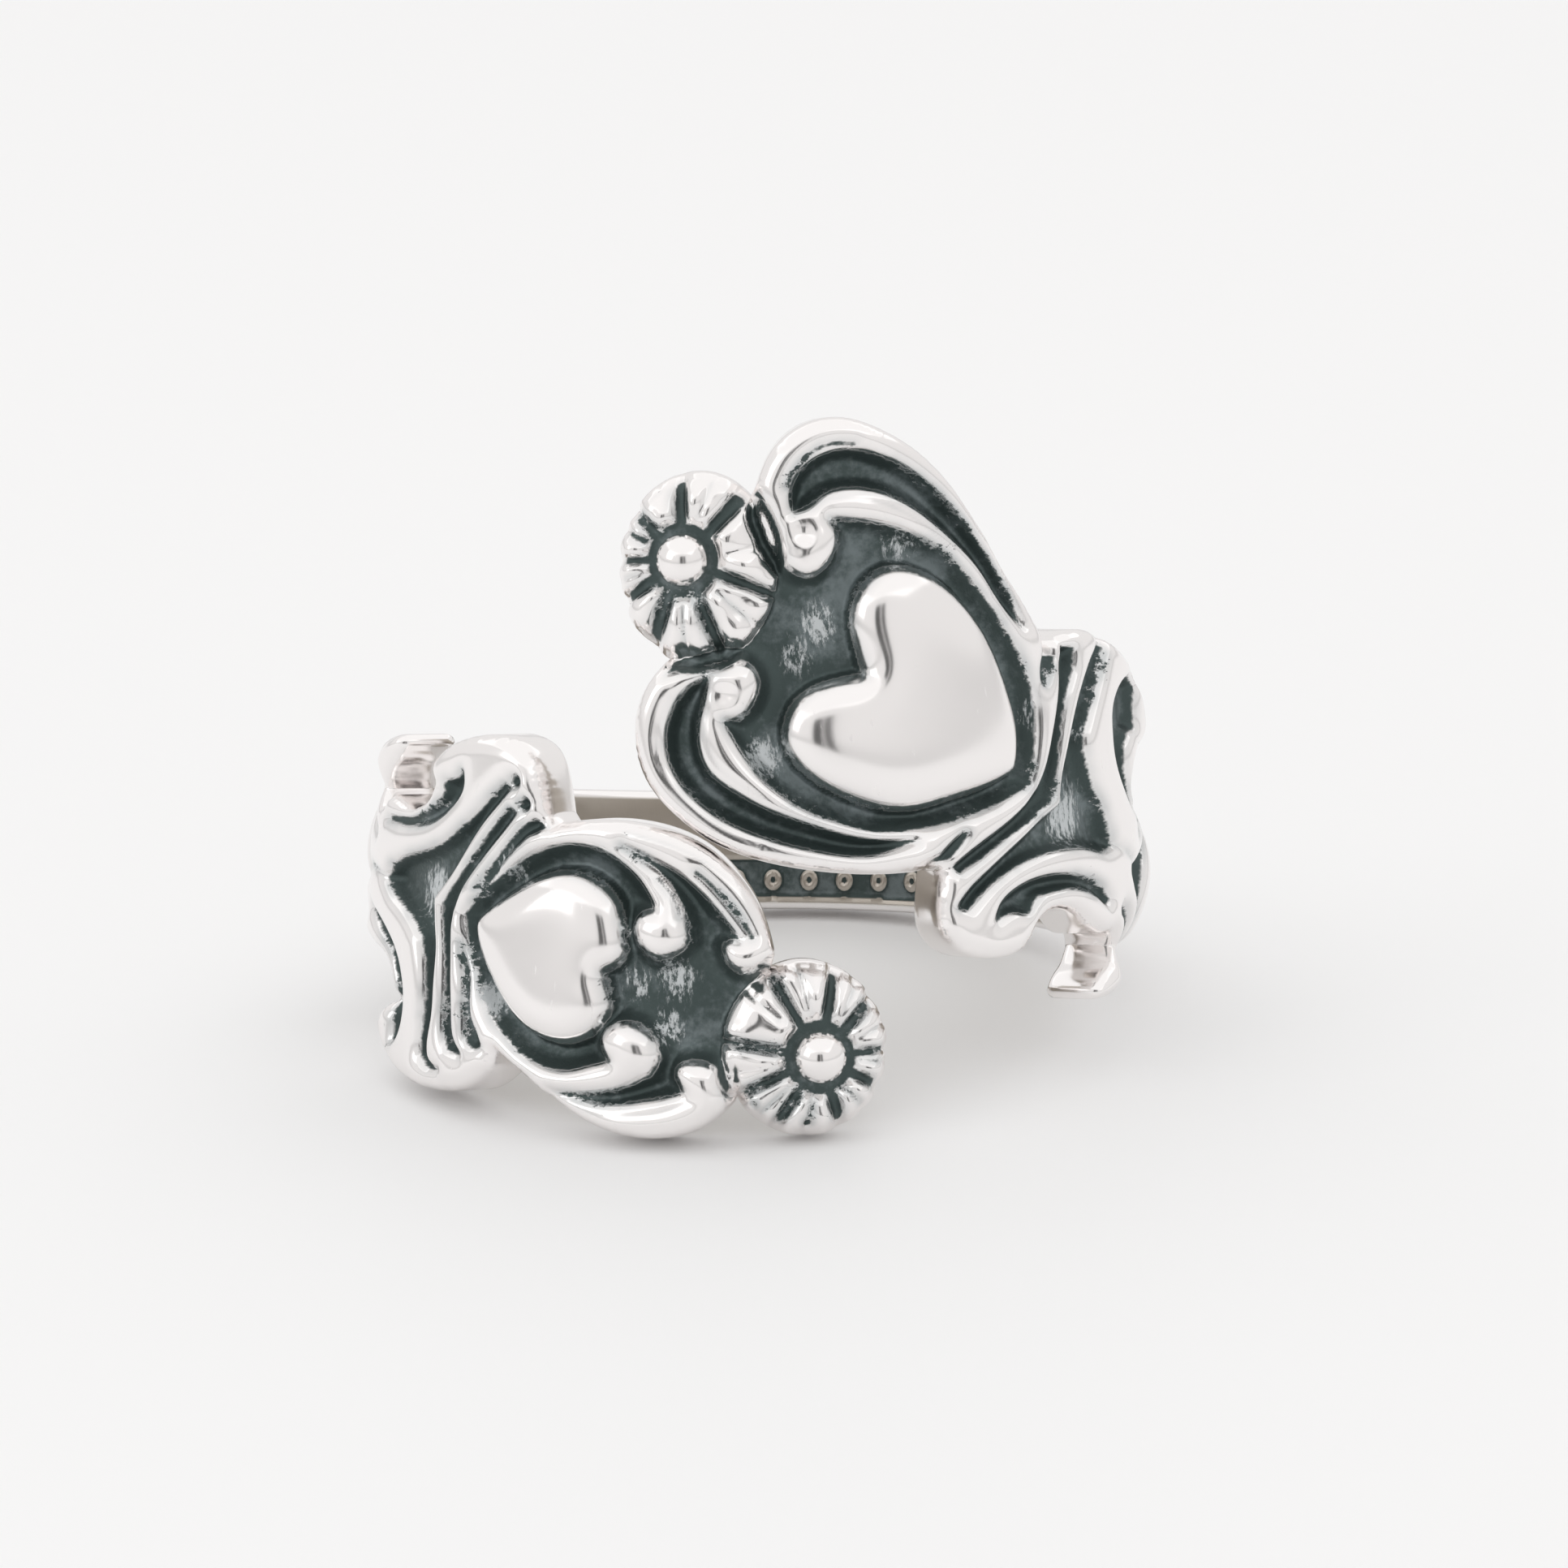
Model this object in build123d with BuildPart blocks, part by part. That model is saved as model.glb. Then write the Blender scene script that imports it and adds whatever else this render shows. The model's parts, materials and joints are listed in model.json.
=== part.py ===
from build123d import *
from math import asin, atan2, cos, hypot, inf, pi, radians, sin, tan
from typing import NamedTuple
import os

os.makedirs("parts", exist_ok=True)

# Spoon ring: a cast band whose two decorated ends pass each other at the front of the finger.
# It is drawn with the finger hole along Z, the shank's middle at Z = 0 and the front facing -Y,
# and is turned at the end to lie as it rests on a flat surface.

# Driving sizes, in millimetres and degrees
finger_bore = 18.2
recess_wall = 1.05
ridge_rise = 0.80
heart_rise = 0.30
heart_ball = 7.0
bead_radius = 0.72
bead_rise = 0.30
bead_groove = 0.26
flower_ball = 6.0
flower_aside = 0.36
flower_inset = 0.23
petal_depth = 0.40
petal_slit = 0.28
eye_radius = 0.27
eye_depth = 0.30

broad_scroll_length = 10.5
broad_scroll_half = 5.95
broad_lobe_length = 7.0
broad_crowding = 1.0
broad_bow = 0.25
broad_flower_long = 2.3
broad_flower_wide = 2.62
broad_heart_start = 4.35
broad_heart_length = 7.05
broad_heart_half = 3.28
broad_petals = 10
broad_bead_arc = -2.06

narrow_scroll_length = 9.1
narrow_scroll_half = 4.1
narrow_lobe_length = 7.8
narrow_crowding = 0.88
narrow_bow = 0.60
narrow_flower_long = 2.4
narrow_flower_wide = 2.35
narrow_heart_start = 5.8
narrow_heart_length = 5.15
narrow_heart_half = 2.43
narrow_petals = 12
narrow_bead_arc = 1.74

lobe_half = 5.2
lobe_lean = 13.0
far_lobe_length = 5.5
broad_far_half = 3.45
narrow_far_half = 3.75
far_lean = 44.0
far_wall = 0.85
crown_half = 2.4
shank_half = 1.7
shank_flare = 2.2
shank_overlap = 0.4
waist_disc = 1.6

end_gap = 0.15
parting_height = 0.95

# Sizes that follow from the driving ones
bore_radius = finger_bore / 2
floor_radius = bore_radius + recess_wall
ridge_radius = floor_radius + ridge_rise
far_radius = bore_radius + far_wall
strip_radius = ridge_radius
ring_round = 2 * pi * strip_radius
inner_section = 0.25 * bore_radius
outer_section = 1.1 * ridge_radius
skin_tolerance = 0.01
same_point = 0.001


class Spot(NamedTuple):
    """A point of an outline, as shares of the length and the half-width that it follows."""

    along: float
    out: float


class End(NamedTuple):
    """One decorated end of the band, from its flower's bead to the waist where the shank starts."""

    side: int
    bead_arc: float
    scroll_length: float
    scroll_half: float
    lobe_length: float
    crowding: float
    bow: float
    flower_long: float
    flower_wide: float
    petals: int
    heart_start: float
    heart_length: float
    heart_half: float
    far_half: float
    slope: float

    @property
    def length(self):
        return self.scroll_length + self.lobe_length

    @property
    def bead_height(self):
        return self.side * self.length * sin(self.slope)

    @property
    def waist_arc(self):
        return self.bead_arc + self.side * self.length * cos(self.slope)


# Where an end comes nearest to its neighbour, as a share of its length from the bead
nearest = 0.25
# Where along an end the lobes begin and finish leaning
lean_starts = 0.45
lean_full = 0.80


def slope_past(length, half, bow, clear):
    """The slope that keeps an end's nearest edge a given height above the shank's middle."""
    reach = length * (1 - nearest)
    edge = half + bow * 4 * nearest * (1 - nearest)
    return atan2(edge, reach) + asin(clear / hypot(edge, reach))


broad = End(
    side=1,
    bead_arc=broad_bead_arc,
    scroll_length=broad_scroll_length,
    scroll_half=broad_scroll_half,
    lobe_length=broad_lobe_length,
    crowding=broad_crowding,
    bow=broad_bow,
    flower_long=broad_flower_long,
    flower_wide=broad_flower_wide,
    petals=broad_petals,
    heart_start=broad_heart_start,
    heart_length=broad_heart_length,
    heart_half=broad_heart_half,
    far_half=broad_far_half,
    slope=slope_past(
        broad_scroll_length + broad_lobe_length,
        broad_scroll_half,
        broad_bow,
        parting_height + end_gap / 2,
    ),
)
narrow = End(
    side=-1,
    bead_arc=narrow_bead_arc,
    scroll_length=narrow_scroll_length,
    scroll_half=narrow_scroll_half,
    lobe_length=narrow_lobe_length,
    crowding=narrow_crowding,
    bow=narrow_bow,
    flower_long=narrow_flower_long,
    flower_wide=narrow_flower_wide,
    petals=narrow_petals,
    heart_start=narrow_heart_start,
    heart_length=narrow_heart_length,
    heart_half=narrow_heart_half,
    far_half=narrow_far_half,
    slope=slope_past(
        narrow_scroll_length + narrow_lobe_length,
        narrow_scroll_half,
        narrow_bow,
        end_gap / 2 - parting_height,
    ),
)

# Outlines: each row is a share along and a share out from the centre line, on one side of it

# C-scroll edges, as shares of the scrolls' length from the bead and of their half-width
broad_scroll_edge = [
    Spot(0.077, 0.45),
    Spot(0.069, 0.63),
    Spot(0.106, 0.80),
    Spot(0.183, 0.926),
    Spot(0.298, 0.988),
    Spot(0.404, 1.00),
    Spot(0.644, 0.90),
    Spot(0.885, 0.706),
    Spot(1.00, 0.60),
]
narrow_scroll_edge = [
    Spot(0.214, 0.506),
    Spot(0.286, 0.735),
    Spot(0.396, 0.904),
    Spot(0.538, 0.995),
    Spot(0.692, 0.988),
    Spot(0.868, 0.896),
    Spot(1.00, 0.795),
]

# Heart, as shares of its own length from its left edge and of its half-width
heart_edge = [
    Spot(0.14, 0.00),
    Spot(0.045, 0.26),
    Spot(0.00, 0.50),
    Spot(0.03, 0.73),
    Spot(0.13, 0.92),
    Spot(0.28, 1.00),
    Spot(0.45, 0.95),
    Spot(0.63, 0.76),
    Spot(0.80, 0.47),
    Spot(1.00, 0.00),
]

heart_crown = Spot(0.45, 0.00)

# Sunk ground round the heart: round the curl first, then along the leaf to the heart's point
broad_ground_curl = [
    Spot(0.115, 0.34),
    Spot(0.163, 0.28),
    Spot(0.25, 0.20),
    Spot(0.32, 0.25),
    Spot(0.337, 0.38),
    Spot(0.295, 0.488),
]
broad_ground_leaf = [
    Spot(0.295, 0.488),
    Spot(0.385, 0.578),
    Spot(0.51, 0.61),
    Spot(0.644, 0.587),
    Spot(0.77, 0.52),
    Spot(0.885, 0.42),
    Spot(0.99, 0.29),
    Spot(1.14, 0.00),
]
narrow_ground_curl = [
    Spot(0.25, 0.36),
    Spot(0.32, 0.31),
    Spot(0.375, 0.42),
    Spot(0.43, 0.64),
    Spot(0.55, 0.80),
    Spot(0.79, 0.85),
    Spot(0.66, 0.75),
    Spot(0.53, 0.64),
    Spot(0.462, 0.46),
    Spot(0.49, 0.27),
    Spot(0.55, 0.19),
    Spot(0.62, 0.25),
    Spot(0.645, 0.40),
    Spot(0.615, 0.51),
]
narrow_ground_leaf = [
    Spot(0.615, 0.51),
    Spot(0.69, 0.63),
    Spot(0.824, 0.72),
    Spot(0.956, 0.645),
    Spot(1.066, 0.475),
    Spot(1.165, 0.24),
    Spot(1.24, 0.00),
]

# The long groove between the broad scroll's outer ridge and its leaf
broad_groove_outer = [
    Spot(0.168, 0.48),
    Spot(0.154, 0.61),
    Spot(0.192, 0.777),
    Spot(0.27, 0.85),
    Spot(0.385, 0.876),
    Spot(0.51, 0.86),
    Spot(0.644, 0.80),
    Spot(0.77, 0.71),
    Spot(0.913, 0.56),
]
broad_groove_inner = [
    Spot(0.913, 0.56),
    Spot(0.74, 0.65),
    Spot(0.577, 0.727),
    Spot(0.452, 0.744),
    Spot(0.327, 0.694),
    Spot(0.24, 0.595),
    Spot(0.19, 0.47),
]

# The small pit in the middle of each of the broad scroll's curls
broad_eye = Spot(0.232, 0.415)

# Lobes, as shares of the lobes' length from the waist and of their half-width. Each end has one
# lobe on the side away from the other end, and a slimmer one on the side next to it
away_lobe_edge = [
    Spot(1.00, 0.72),
    Spot(0.92, 0.87),
    Spot(0.81, 0.965),
    Spot(0.69, 1.01),
    Spot(0.54, 1.00),
    Spot(0.40, 0.93),
    Spot(0.31, 0.81),
    Spot(0.33, 0.70),
    Spot(0.38, 0.66),
]
next_lobe_edge = [
    Spot(0.96, 0.66),
    Spot(0.87, 0.835),
    Spot(0.78, 0.935),
    Spot(0.66, 0.98),
    Spot(0.54, 0.96),
    Spot(0.43, 0.88),
    Spot(0.375, 0.78),
    Spot(0.38, 0.66),
]
bay_edge = [
    Spot(0.38, 0.66),
    Spot(0.375, 0.57),
    Spot(0.315, 0.48),
    Spot(0.187, 0.435),
    Spot(0.00, 0.425),
]
first_groove_outer = [Spot(0.951, 0.673), Spot(0.847, 0.423), Spot(0.764, 0.192), Spot(0.722, 0.0)]
first_groove_inner = [Spot(0.667, 0.0), Spot(0.708, 0.21), Spot(0.792, 0.46), Spot(0.889, 0.70)]
kite_outer = [
    Spot(0.597, 0.0),
    Spot(0.632, 0.19),
    Spot(0.6875, 0.42),
    Spot(0.736, 0.69),
    Spot(0.75, 0.865),
]
kite_inner = [
    Spot(0.694, 0.865),
    Spot(0.667, 0.67),
    Spot(0.611, 0.44),
    Spot(0.50, 0.31),
    Spot(0.361, 0.20),
    Spot(0.194, 0.096),
    Spot(0.07, 0.0),
]
lobe_groove_outer = [
    Spot(0.569, 0.79),
    Spot(0.583, 0.60),
    Spot(0.50, 0.46),
    Spot(0.333, 0.337),
    Spot(0.11, 0.26),
]
lobe_groove_inner = [
    Spot(0.097, 0.30),
    Spot(0.264, 0.375),
    Spot(0.403, 0.48),
    Spot(0.50, 0.615),
    Spot(0.514, 0.76),
]

# Far lobes, past the waist, as shares of their length from the waist and of their half-width,
# and the band past them, up to the shank
far_bay_edge = [Spot(0.00, 0.44), Spot(0.16, 0.49), Spot(0.28, 0.59)]
far_lobe_edge = [
    Spot(0.28, 0.59),
    Spot(0.26, 0.72),
    Spot(0.20, 0.86),
    Spot(0.23, 0.97),
    Spot(0.33, 1.00),
    Spot(0.47, 0.95),
    Spot(0.58, 0.85),
    Spot(0.70, 0.74),
    Spot(0.90, 0.67),
    Spot(1.25, 0.65),
    Spot(1.65, 0.63),
]


def leaning(share):
    """How much of the lobes' lean has set in, from 0 at the scrolls to 1 at the lobes."""
    step = min(max((share - lean_starts) / (lean_full - lean_starts), 0), 1)
    return step * step * (3 - 2 * step)


def end_spot(end, along, out):
    """Arc round the ring and height of a point that is along an end and out from its middle."""
    share = along / end.length
    run = along + out * tan(radians(lobe_lean)) * leaning(share)
    offset = out - end.bow * 4 * share * (1 - share)
    arc = end.bead_arc + end.side * (run * cos(end.slope) + offset * sin(end.slope))
    height = end.side * ((end.length - run) * sin(end.slope) + offset * cos(end.slope))
    return arc, height


def far_spot(end, along, out):
    """The same for a point past the waist, where the band runs level and its pattern leans."""
    return end.waist_arc + end.side * (along + out * tan(radians(far_lean))), end.side * out


def touching(arc, height, distance):
    """The plane square to the ring's radius there, at a distance from the finger's centre line."""
    angle = arc / strip_radius
    outward = Vector(sin(angle), -cos(angle), 0)
    return Plane(
        origin=outward * distance + Vector(0, 0, height),
        x_dir=(cos(angle), sin(angle), 0),
        z_dir=outward,
    )


class Zone(NamedTuple):
    """A stretch of the strip, with the sizes its outlines follow and the arc it is seen from."""

    spot: object
    end: End
    start: float
    step: int
    length: float
    half: float
    seen_from: float

    def lies(self, row, side):
        along = self.start + self.step * row.along * self.length
        return self.spot(self.end, along, side * row.out * self.half)

    def drawn(self, rows, side, distance):
        """The rows as points of the plane at that distance, seen from the finger's centre line."""
        points = []
        for row in rows:
            arc, height = self.lies(row, side)
            points.append((distance * tan((arc - self.seen_from) / strip_radius), height))
        return points


def end_view(end):
    return (end.bead_arc + end.waist_arc) / 2


def scroll_zone(end):
    return Zone(end_spot, end, 0, 1, end.scroll_length, end.scroll_half, end_view(end))


def heart_zone(end, start, length, half):
    return Zone(end_spot, end, start, 1, length, half, end_view(end))


def lobe_zone(end):
    return Zone(end_spot, end, end.length, -1, end.lobe_length, lobe_half, end_view(end))


def crowded_zone(end):
    """The lobes' own pattern, which is crowded towards the waist on the narrow end."""
    return lobe_zone(end)._replace(length=end.lobe_length * end.crowding)


def far_zone(end):
    view = end.waist_arc + end.side * far_lobe_length * far_lobe_edge[-1].along / 2
    return Zone(far_spot, end, 0, 1, far_lobe_length, end.far_half, view)


def closed_face(runs):
    """A face inside a loop of runs, each a curve through its points, with lines across the gaps."""
    with BuildLine() as loop:
        for run, following in zip(runs, runs[1:] + runs[:1]):
            if len(run) > 2:
                Spline(*run)
            else:
                Line(*run)
            if (Vector(*run[-1]) - Vector(*following[0])).length > same_point:
                Line(run[-1], following[0])
    make_face(loop.line)


def radial_loft(view, runs_at):
    """A solid whose walls run straight out from the finger's centre line, through the band."""
    sections = []
    for distance in (inner_section, outer_section):
        with BuildSketch(touching(view, 0, distance)) as section:
            closed_face(runs_at(distance))
        sections.append(section.sketch)
    loft(sections, ruled=True)


def across(pieces, next_pieces=None):
    """Loft one outline across the centre line from (zone, rows) pieces, mirrored if not given."""
    mirrored = next_pieces or pieces

    def runs_at(distance):
        away = [zone.drawn(rows, 1, distance) for zone, rows in pieces]
        beside = [zone.drawn(rows, -1, distance)[::-1] for zone, rows in reversed(mirrored)]
        return away + beside

    radial_loft(pieces[0][0].seen_from, runs_at)


def each_side(pieces):
    """Loft two outlines, one on each side of the centre line."""
    for side in (1, -1):
        radial_loft(
            pieces[0][0].seen_from,
            lambda distance: [zone.drawn(rows, side, distance) for zone, rows in pieces],
        )


def tube(outer, inner):
    """Keep only what lies between two radii."""
    with BuildSketch() as section:
        Circle(outer)
        Circle(inner, mode=Mode.SUBTRACT)
    extrude(section.sketch, amount=ring_round, both=True, mode=Mode.INTERSECT)


def flower_column(end, mode=Mode.ADD):
    """The flower's outline, straight out through the band and past it."""
    with BuildSketch(touching(end.bead_arc, end.bead_height, inner_section)) as disc:
        with Locations((end.side * flower_aside, -end.side * flower_inset)):
            Ellipse(end.flower_long, end.flower_wide)
    extrude(disc.sketch, amount=outer_section - inner_section, mode=mode)


def flower_dome(end, radius, mode):
    """A ball round the flower's own middle, which lies under its bead."""
    with Locations(touching(end.bead_arc, end.bead_height, ridge_radius - flower_ball)):
        Sphere(radius, mode=mode)


def settle(points, centre, down):
    """Tip the ring until three of its points stand on the floor and carry its centre of mass."""
    feet = [max(points, key=down.dot)]
    while len(feet) < 3:
        hinge = (centre - feet[0]).cross(down) if len(feet) == 1 else feet[1] - feet[0]
        aside = hinge.cross(down).normalized()
        if aside.dot(centre - feet[0]) < 0:
            aside = aside * -1
        tilt, foot = inf, None
        for point in points:
            ahead = aside.dot(point - feet[0])
            rise = down.dot(feet[0] - point)
            if ahead > skin_tolerance and atan2(rise, ahead) < tilt:
                tilt, foot = atan2(rise, ahead), point
        down = (down * cos(tilt) + aside * sin(tilt)).normalized()
        feet.append(foot)
        if len(feet) == 3:
            for lifted in feet:
                first, second = [foot for foot in feet if foot is not lifted]
                aside = (second - first).cross(down)
                if aside.dot(lifted - first) * aside.dot(centre - first) < 0:
                    feet = [first, second]
                    break
    return down


# The shank runs from one end's far lobes to the other's, round the back
shank_first = far_zone(broad).lies(far_lobe_edge[-1], -1)[0] - shank_overlap
shank_last = ring_round + far_zone(narrow).lies(far_lobe_edge[-1], -1)[0] + shank_overlap
shank_middle = (shank_first + shank_last) / 2


def shank_runs(distance):
    """The shank's outline: narrowest at the back, widening to the far lobes."""
    reach = shank_last - shank_middle
    edge = []
    for step in range(-3, 4):
        share = step / 3
        half = shank_half + (shank_flare - shank_half) * share**2
        edge.append((distance * tan(share * reach / strip_radius), half))
    return [edge, [(aside, -half) for aside, half in reversed(edge)]]


# Back of the band: far lobes and shank under one crown, thick along the middle, thin at the edges
with BuildPart() as back:
    for end in (broad, narrow):
        across([(far_zone(end), far_bay_edge), (far_zone(end), far_lobe_edge)])
    radial_loft(shank_middle, shank_runs)
    with BuildSketch(Plane.XZ) as crown:
        with BuildLine():
            ThreePointArc((far_radius, -crown_half), (ridge_radius, 0), (far_radius, crown_half))
            Polyline(
                (far_radius, crown_half),
                (far_radius, lobe_half),
                (bore_radius, lobe_half),
                (bore_radius, -lobe_half),
                (far_radius, -lobe_half),
                (far_radius, -crown_half),
            )
        make_face()
    revolve(crown.sketch, axis=Axis.Z, mode=Mode.INTERSECT)

# Sunk parts of the pattern, down to the recess floor
with BuildPart() as sunk:
    for end in (broad, narrow):
        for zone in (crowded_zone(end), far_zone(end)):
            across([(zone, kite_outer), (zone, kite_inner)])
            each_side([(zone, lobe_groove_outer), (zone, lobe_groove_inner)])
        each_side([(crowded_zone(end), first_groove_outer), (crowded_zone(end), first_groove_inner)])
    each_side([(scroll_zone(broad), broad_groove_outer), (scroll_zone(broad), broad_groove_inner)])
    across([(scroll_zone(broad), broad_ground_curl), (scroll_zone(broad), broad_ground_leaf)])
    across([(scroll_zone(narrow), narrow_ground_curl), (scroll_zone(narrow), narrow_ground_leaf)])
    for end in (broad, narrow):
        flower_column(end, mode=Mode.SUBTRACT)
    tube(ridge_radius + heart_rise, floor_radius)

# Hearts: crowned like part of a ball
hearts = []
for end in (broad, narrow):
    zone = heart_zone(end, end.heart_start, end.heart_length, end.heart_half)
    with BuildPart() as heart:
        across([(zone, heart_edge)])
        tube(ridge_radius + heart_rise, floor_radius - recess_wall / 2)
        arc, height = zone.lies(heart_crown, 1)
        with Locations(touching(arc, height, ridge_radius + heart_rise - heart_ball)):
            Sphere(heart_ball, mode=Mode.INTERSECT)
    hearts.append(heart.part)

# Flowers: what is cut away over their domes, and between their petals and round their beads
flower_cuts = []
for end in (broad, narrow):
    with BuildPart() as over_dome:
        flower_column(end)
        flower_dome(end, flower_ball, Mode.SUBTRACT)
    with BuildPart() as slits:
        reach = end.flower_long + end.flower_wide
        with BuildSketch(touching(end.bead_arc, end.bead_height, bore_radius)) as pattern:
            Circle(bead_radius + bead_groove)
            with PolarLocations(reach / 2, end.petals):
                Rectangle(reach, petal_slit)
            with Locations((end.side * flower_aside, -end.side * flower_inset)):
                Ellipse(end.flower_long, end.flower_wide, mode=Mode.INTERSECT)
        extrude(pattern.sketch, amount=outer_section - bore_radius)
        flower_dome(end, flower_ball - petal_depth, Mode.SUBTRACT)
    flower_cuts += [over_dome.part, slits.part]

# The casting: ends as thick as the ridges, and the back, then sunk pattern, hearts and beads
with BuildPart() as casting:
    for end, edge in ((broad, broad_scroll_edge), (narrow, narrow_scroll_edge)):
        scroll, lobes = scroll_zone(end), lobe_zone(end)
        across(
            [(scroll, edge), (lobes, away_lobe_edge), (lobes, bay_edge)],
            [(scroll, edge), (lobes, next_lobe_edge), (lobes, bay_edge)],
        )
        with Locations(touching(end.waist_arc, 0, outer_section / 2)):
            Cylinder(waist_disc, outer_section)
        flower_column(end)
    tube(ridge_radius, bore_radius)
    add(back.part)
    add(sunk.part, mode=Mode.SUBTRACT)
    for cut in flower_cuts:
        add(cut, mode=Mode.SUBTRACT)
    for side in (1, -1):
        arc, height = scroll_zone(broad).lies(broad_eye, side)
        with Locations(touching(arc, height, ridge_radius)):
            Cylinder(eye_radius, eye_depth * 2, mode=Mode.SUBTRACT)
    add(hearts)
    for end in (broad, narrow):
        with Locations(touching(end.bead_arc, end.bead_height, ridge_radius + bead_rise - bead_radius)):
            Sphere(bead_radius)

# The ring as it comes to rest on its side, with the middle of its footprint at the origin
surface_points, _ = casting.part.tessellate(skin_tolerance)
centre = casting.part.center(CenterOf.MASS)
floorward = Vector(0, 0, -1)
down = settle(surface_points, centre, floorward)
tipped = casting.part.rotate(Axis(centre, down.cross(floorward)), down.get_angle(floorward))
box = tipped.bounding_box()
with BuildPart() as ring:
    add(tipped.translate((-box.center().X, -box.center().Y, -box.min.Z)))

ring.part.label = "ring"
export_step(ring.part, "parts/ring.step")
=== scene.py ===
import json
import math
from typing import NamedTuple

import bpy
import numpy as np
from mathutils import Matrix, Vector
from mathutils.geometry import delaunay_2d_cdt


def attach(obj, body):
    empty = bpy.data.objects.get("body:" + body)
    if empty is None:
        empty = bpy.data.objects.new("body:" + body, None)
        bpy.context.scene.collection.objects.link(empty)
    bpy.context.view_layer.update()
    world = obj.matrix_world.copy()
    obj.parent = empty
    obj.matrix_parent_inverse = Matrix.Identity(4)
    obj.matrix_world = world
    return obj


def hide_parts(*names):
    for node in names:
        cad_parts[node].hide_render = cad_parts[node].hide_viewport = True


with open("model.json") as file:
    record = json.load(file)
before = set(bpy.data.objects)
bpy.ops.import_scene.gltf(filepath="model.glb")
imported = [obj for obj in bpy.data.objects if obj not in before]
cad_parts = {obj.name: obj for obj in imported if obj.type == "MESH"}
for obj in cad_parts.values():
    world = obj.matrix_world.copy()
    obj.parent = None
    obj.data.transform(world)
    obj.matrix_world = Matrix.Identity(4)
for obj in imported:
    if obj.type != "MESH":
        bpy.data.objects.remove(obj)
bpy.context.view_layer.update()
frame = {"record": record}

# Sizes of the casting, in millimetres and degrees
MM = 0.001
finger_bore = 18.2
recess_wall = 1.05
ridge_rise = 0.80
heart_rise = 0.30
bead_radius = 0.72
bead_rise = 0.30
flower_ball = 6.0
flower_aside = 0.36
flower_inset = 0.23
lobe_half = 5.2
lobe_lean = 13.0
far_lobe_length = 5.5
far_lean = 44.0
far_wall = 0.85
far_relief = 0.22
crown_half = 2.4
shank_half = 1.7
shank_flare = 2.2
end_gap = 0.15
parting_height = 0.95

bore_radius = finger_bore / 2
full_height = recess_wall + ridge_rise
ridge_radius = bore_radius + full_height
ring_round = 2 * math.pi * ridge_radius

# Along an end, as shares of its length: where it comes nearest to the other, and where lobes lean
nearest = 0.25
lean_starts = 0.45
lean_full = 0.80


class End(NamedTuple):
    """One decorated end of the band, from its flower's bead to the waist where the shank starts."""

    side: int
    lap: float
    bead_arc: float
    scroll_length: float
    scroll_half: float
    lobe_length: float
    far_half: float
    bow: float
    flower_long: float
    flower_wide: float

    @property
    def length(self):
        return self.scroll_length + self.lobe_length

    @property
    def slope(self):
        reach = self.length * (1 - nearest)
        edge = self.scroll_half + self.bow * 4 * nearest * (1 - nearest)
        clear = self.side * parting_height + end_gap / 2
        return math.atan2(edge, reach) + math.asin(clear / math.hypot(edge, reach))

    @property
    def bead(self):
        return self.bead_arc + self.lap, self.side * self.length * math.sin(self.slope)

    @property
    def waist_arc(self):
        return self.bead[0] + self.side * self.length * math.cos(self.slope)


# The strip is laid out flat from the broad end's tip, round the back, to the narrow end's tip
broad = End(
    side=1,
    lap=0,
    bead_arc=-2.06,
    scroll_length=10.5,
    scroll_half=5.95,
    lobe_length=7.0,
    far_half=3.45,
    bow=0.25,
    flower_long=2.3,
    flower_wide=2.62,
)
narrow = End(
    side=-1,
    lap=ring_round,
    bead_arc=1.74,
    scroll_length=9.1,
    scroll_half=4.1,
    lobe_length=7.8,
    far_half=3.75,
    bow=0.6,
    flower_long=2.4,
    flower_wide=2.35,
)
ends = (broad, narrow)


def leaning(share):
    """How much of the lobes' lean has set in, from 0 at the scrolls to 1 at the lobes."""
    step = min(max((share - lean_starts) / (lean_full - lean_starts), 0), 1)
    return step * step * (3 - 2 * step)


def end_spot(end, along, out):
    """Arc round the ring and height of a point that is along an end and out from its middle."""
    share = along / end.length
    run = along + out * math.tan(math.radians(lobe_lean)) * leaning(share)
    offset = out - end.bow * 4 * share * (1 - share)
    arc = end.bead[0] + end.side * (run * math.cos(end.slope) + offset * math.sin(end.slope))
    height = end.side * ((end.length - run) * math.sin(end.slope) + offset * math.cos(end.slope))
    return arc, height


def far_spot(end, along, out):
    """The same for a point past the waist, where the band runs level and its pattern leans."""
    return end.waist_arc + end.side * (along + out * math.tan(math.radians(far_lean))), end.side * out


def scroll_spot(end, along, out):
    """A point of the scrolls, as shares of their length from the bead and of their half-width."""
    return end_spot(end, along * end.scroll_length, out * end.scroll_half)


def lobe_spot(end, along, out):
    """A point of the lobes, as shares of their length from the waist and of their half-width."""
    return end_spot(end, end.length - along * end.lobe_length, out * lobe_half)


def far_lobe_spot(end, along, out):
    """A point of the far lobes, as shares of their length from the waist and of their half-width."""
    return far_spot(end, along * far_lobe_length, out * end.far_half)


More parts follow.
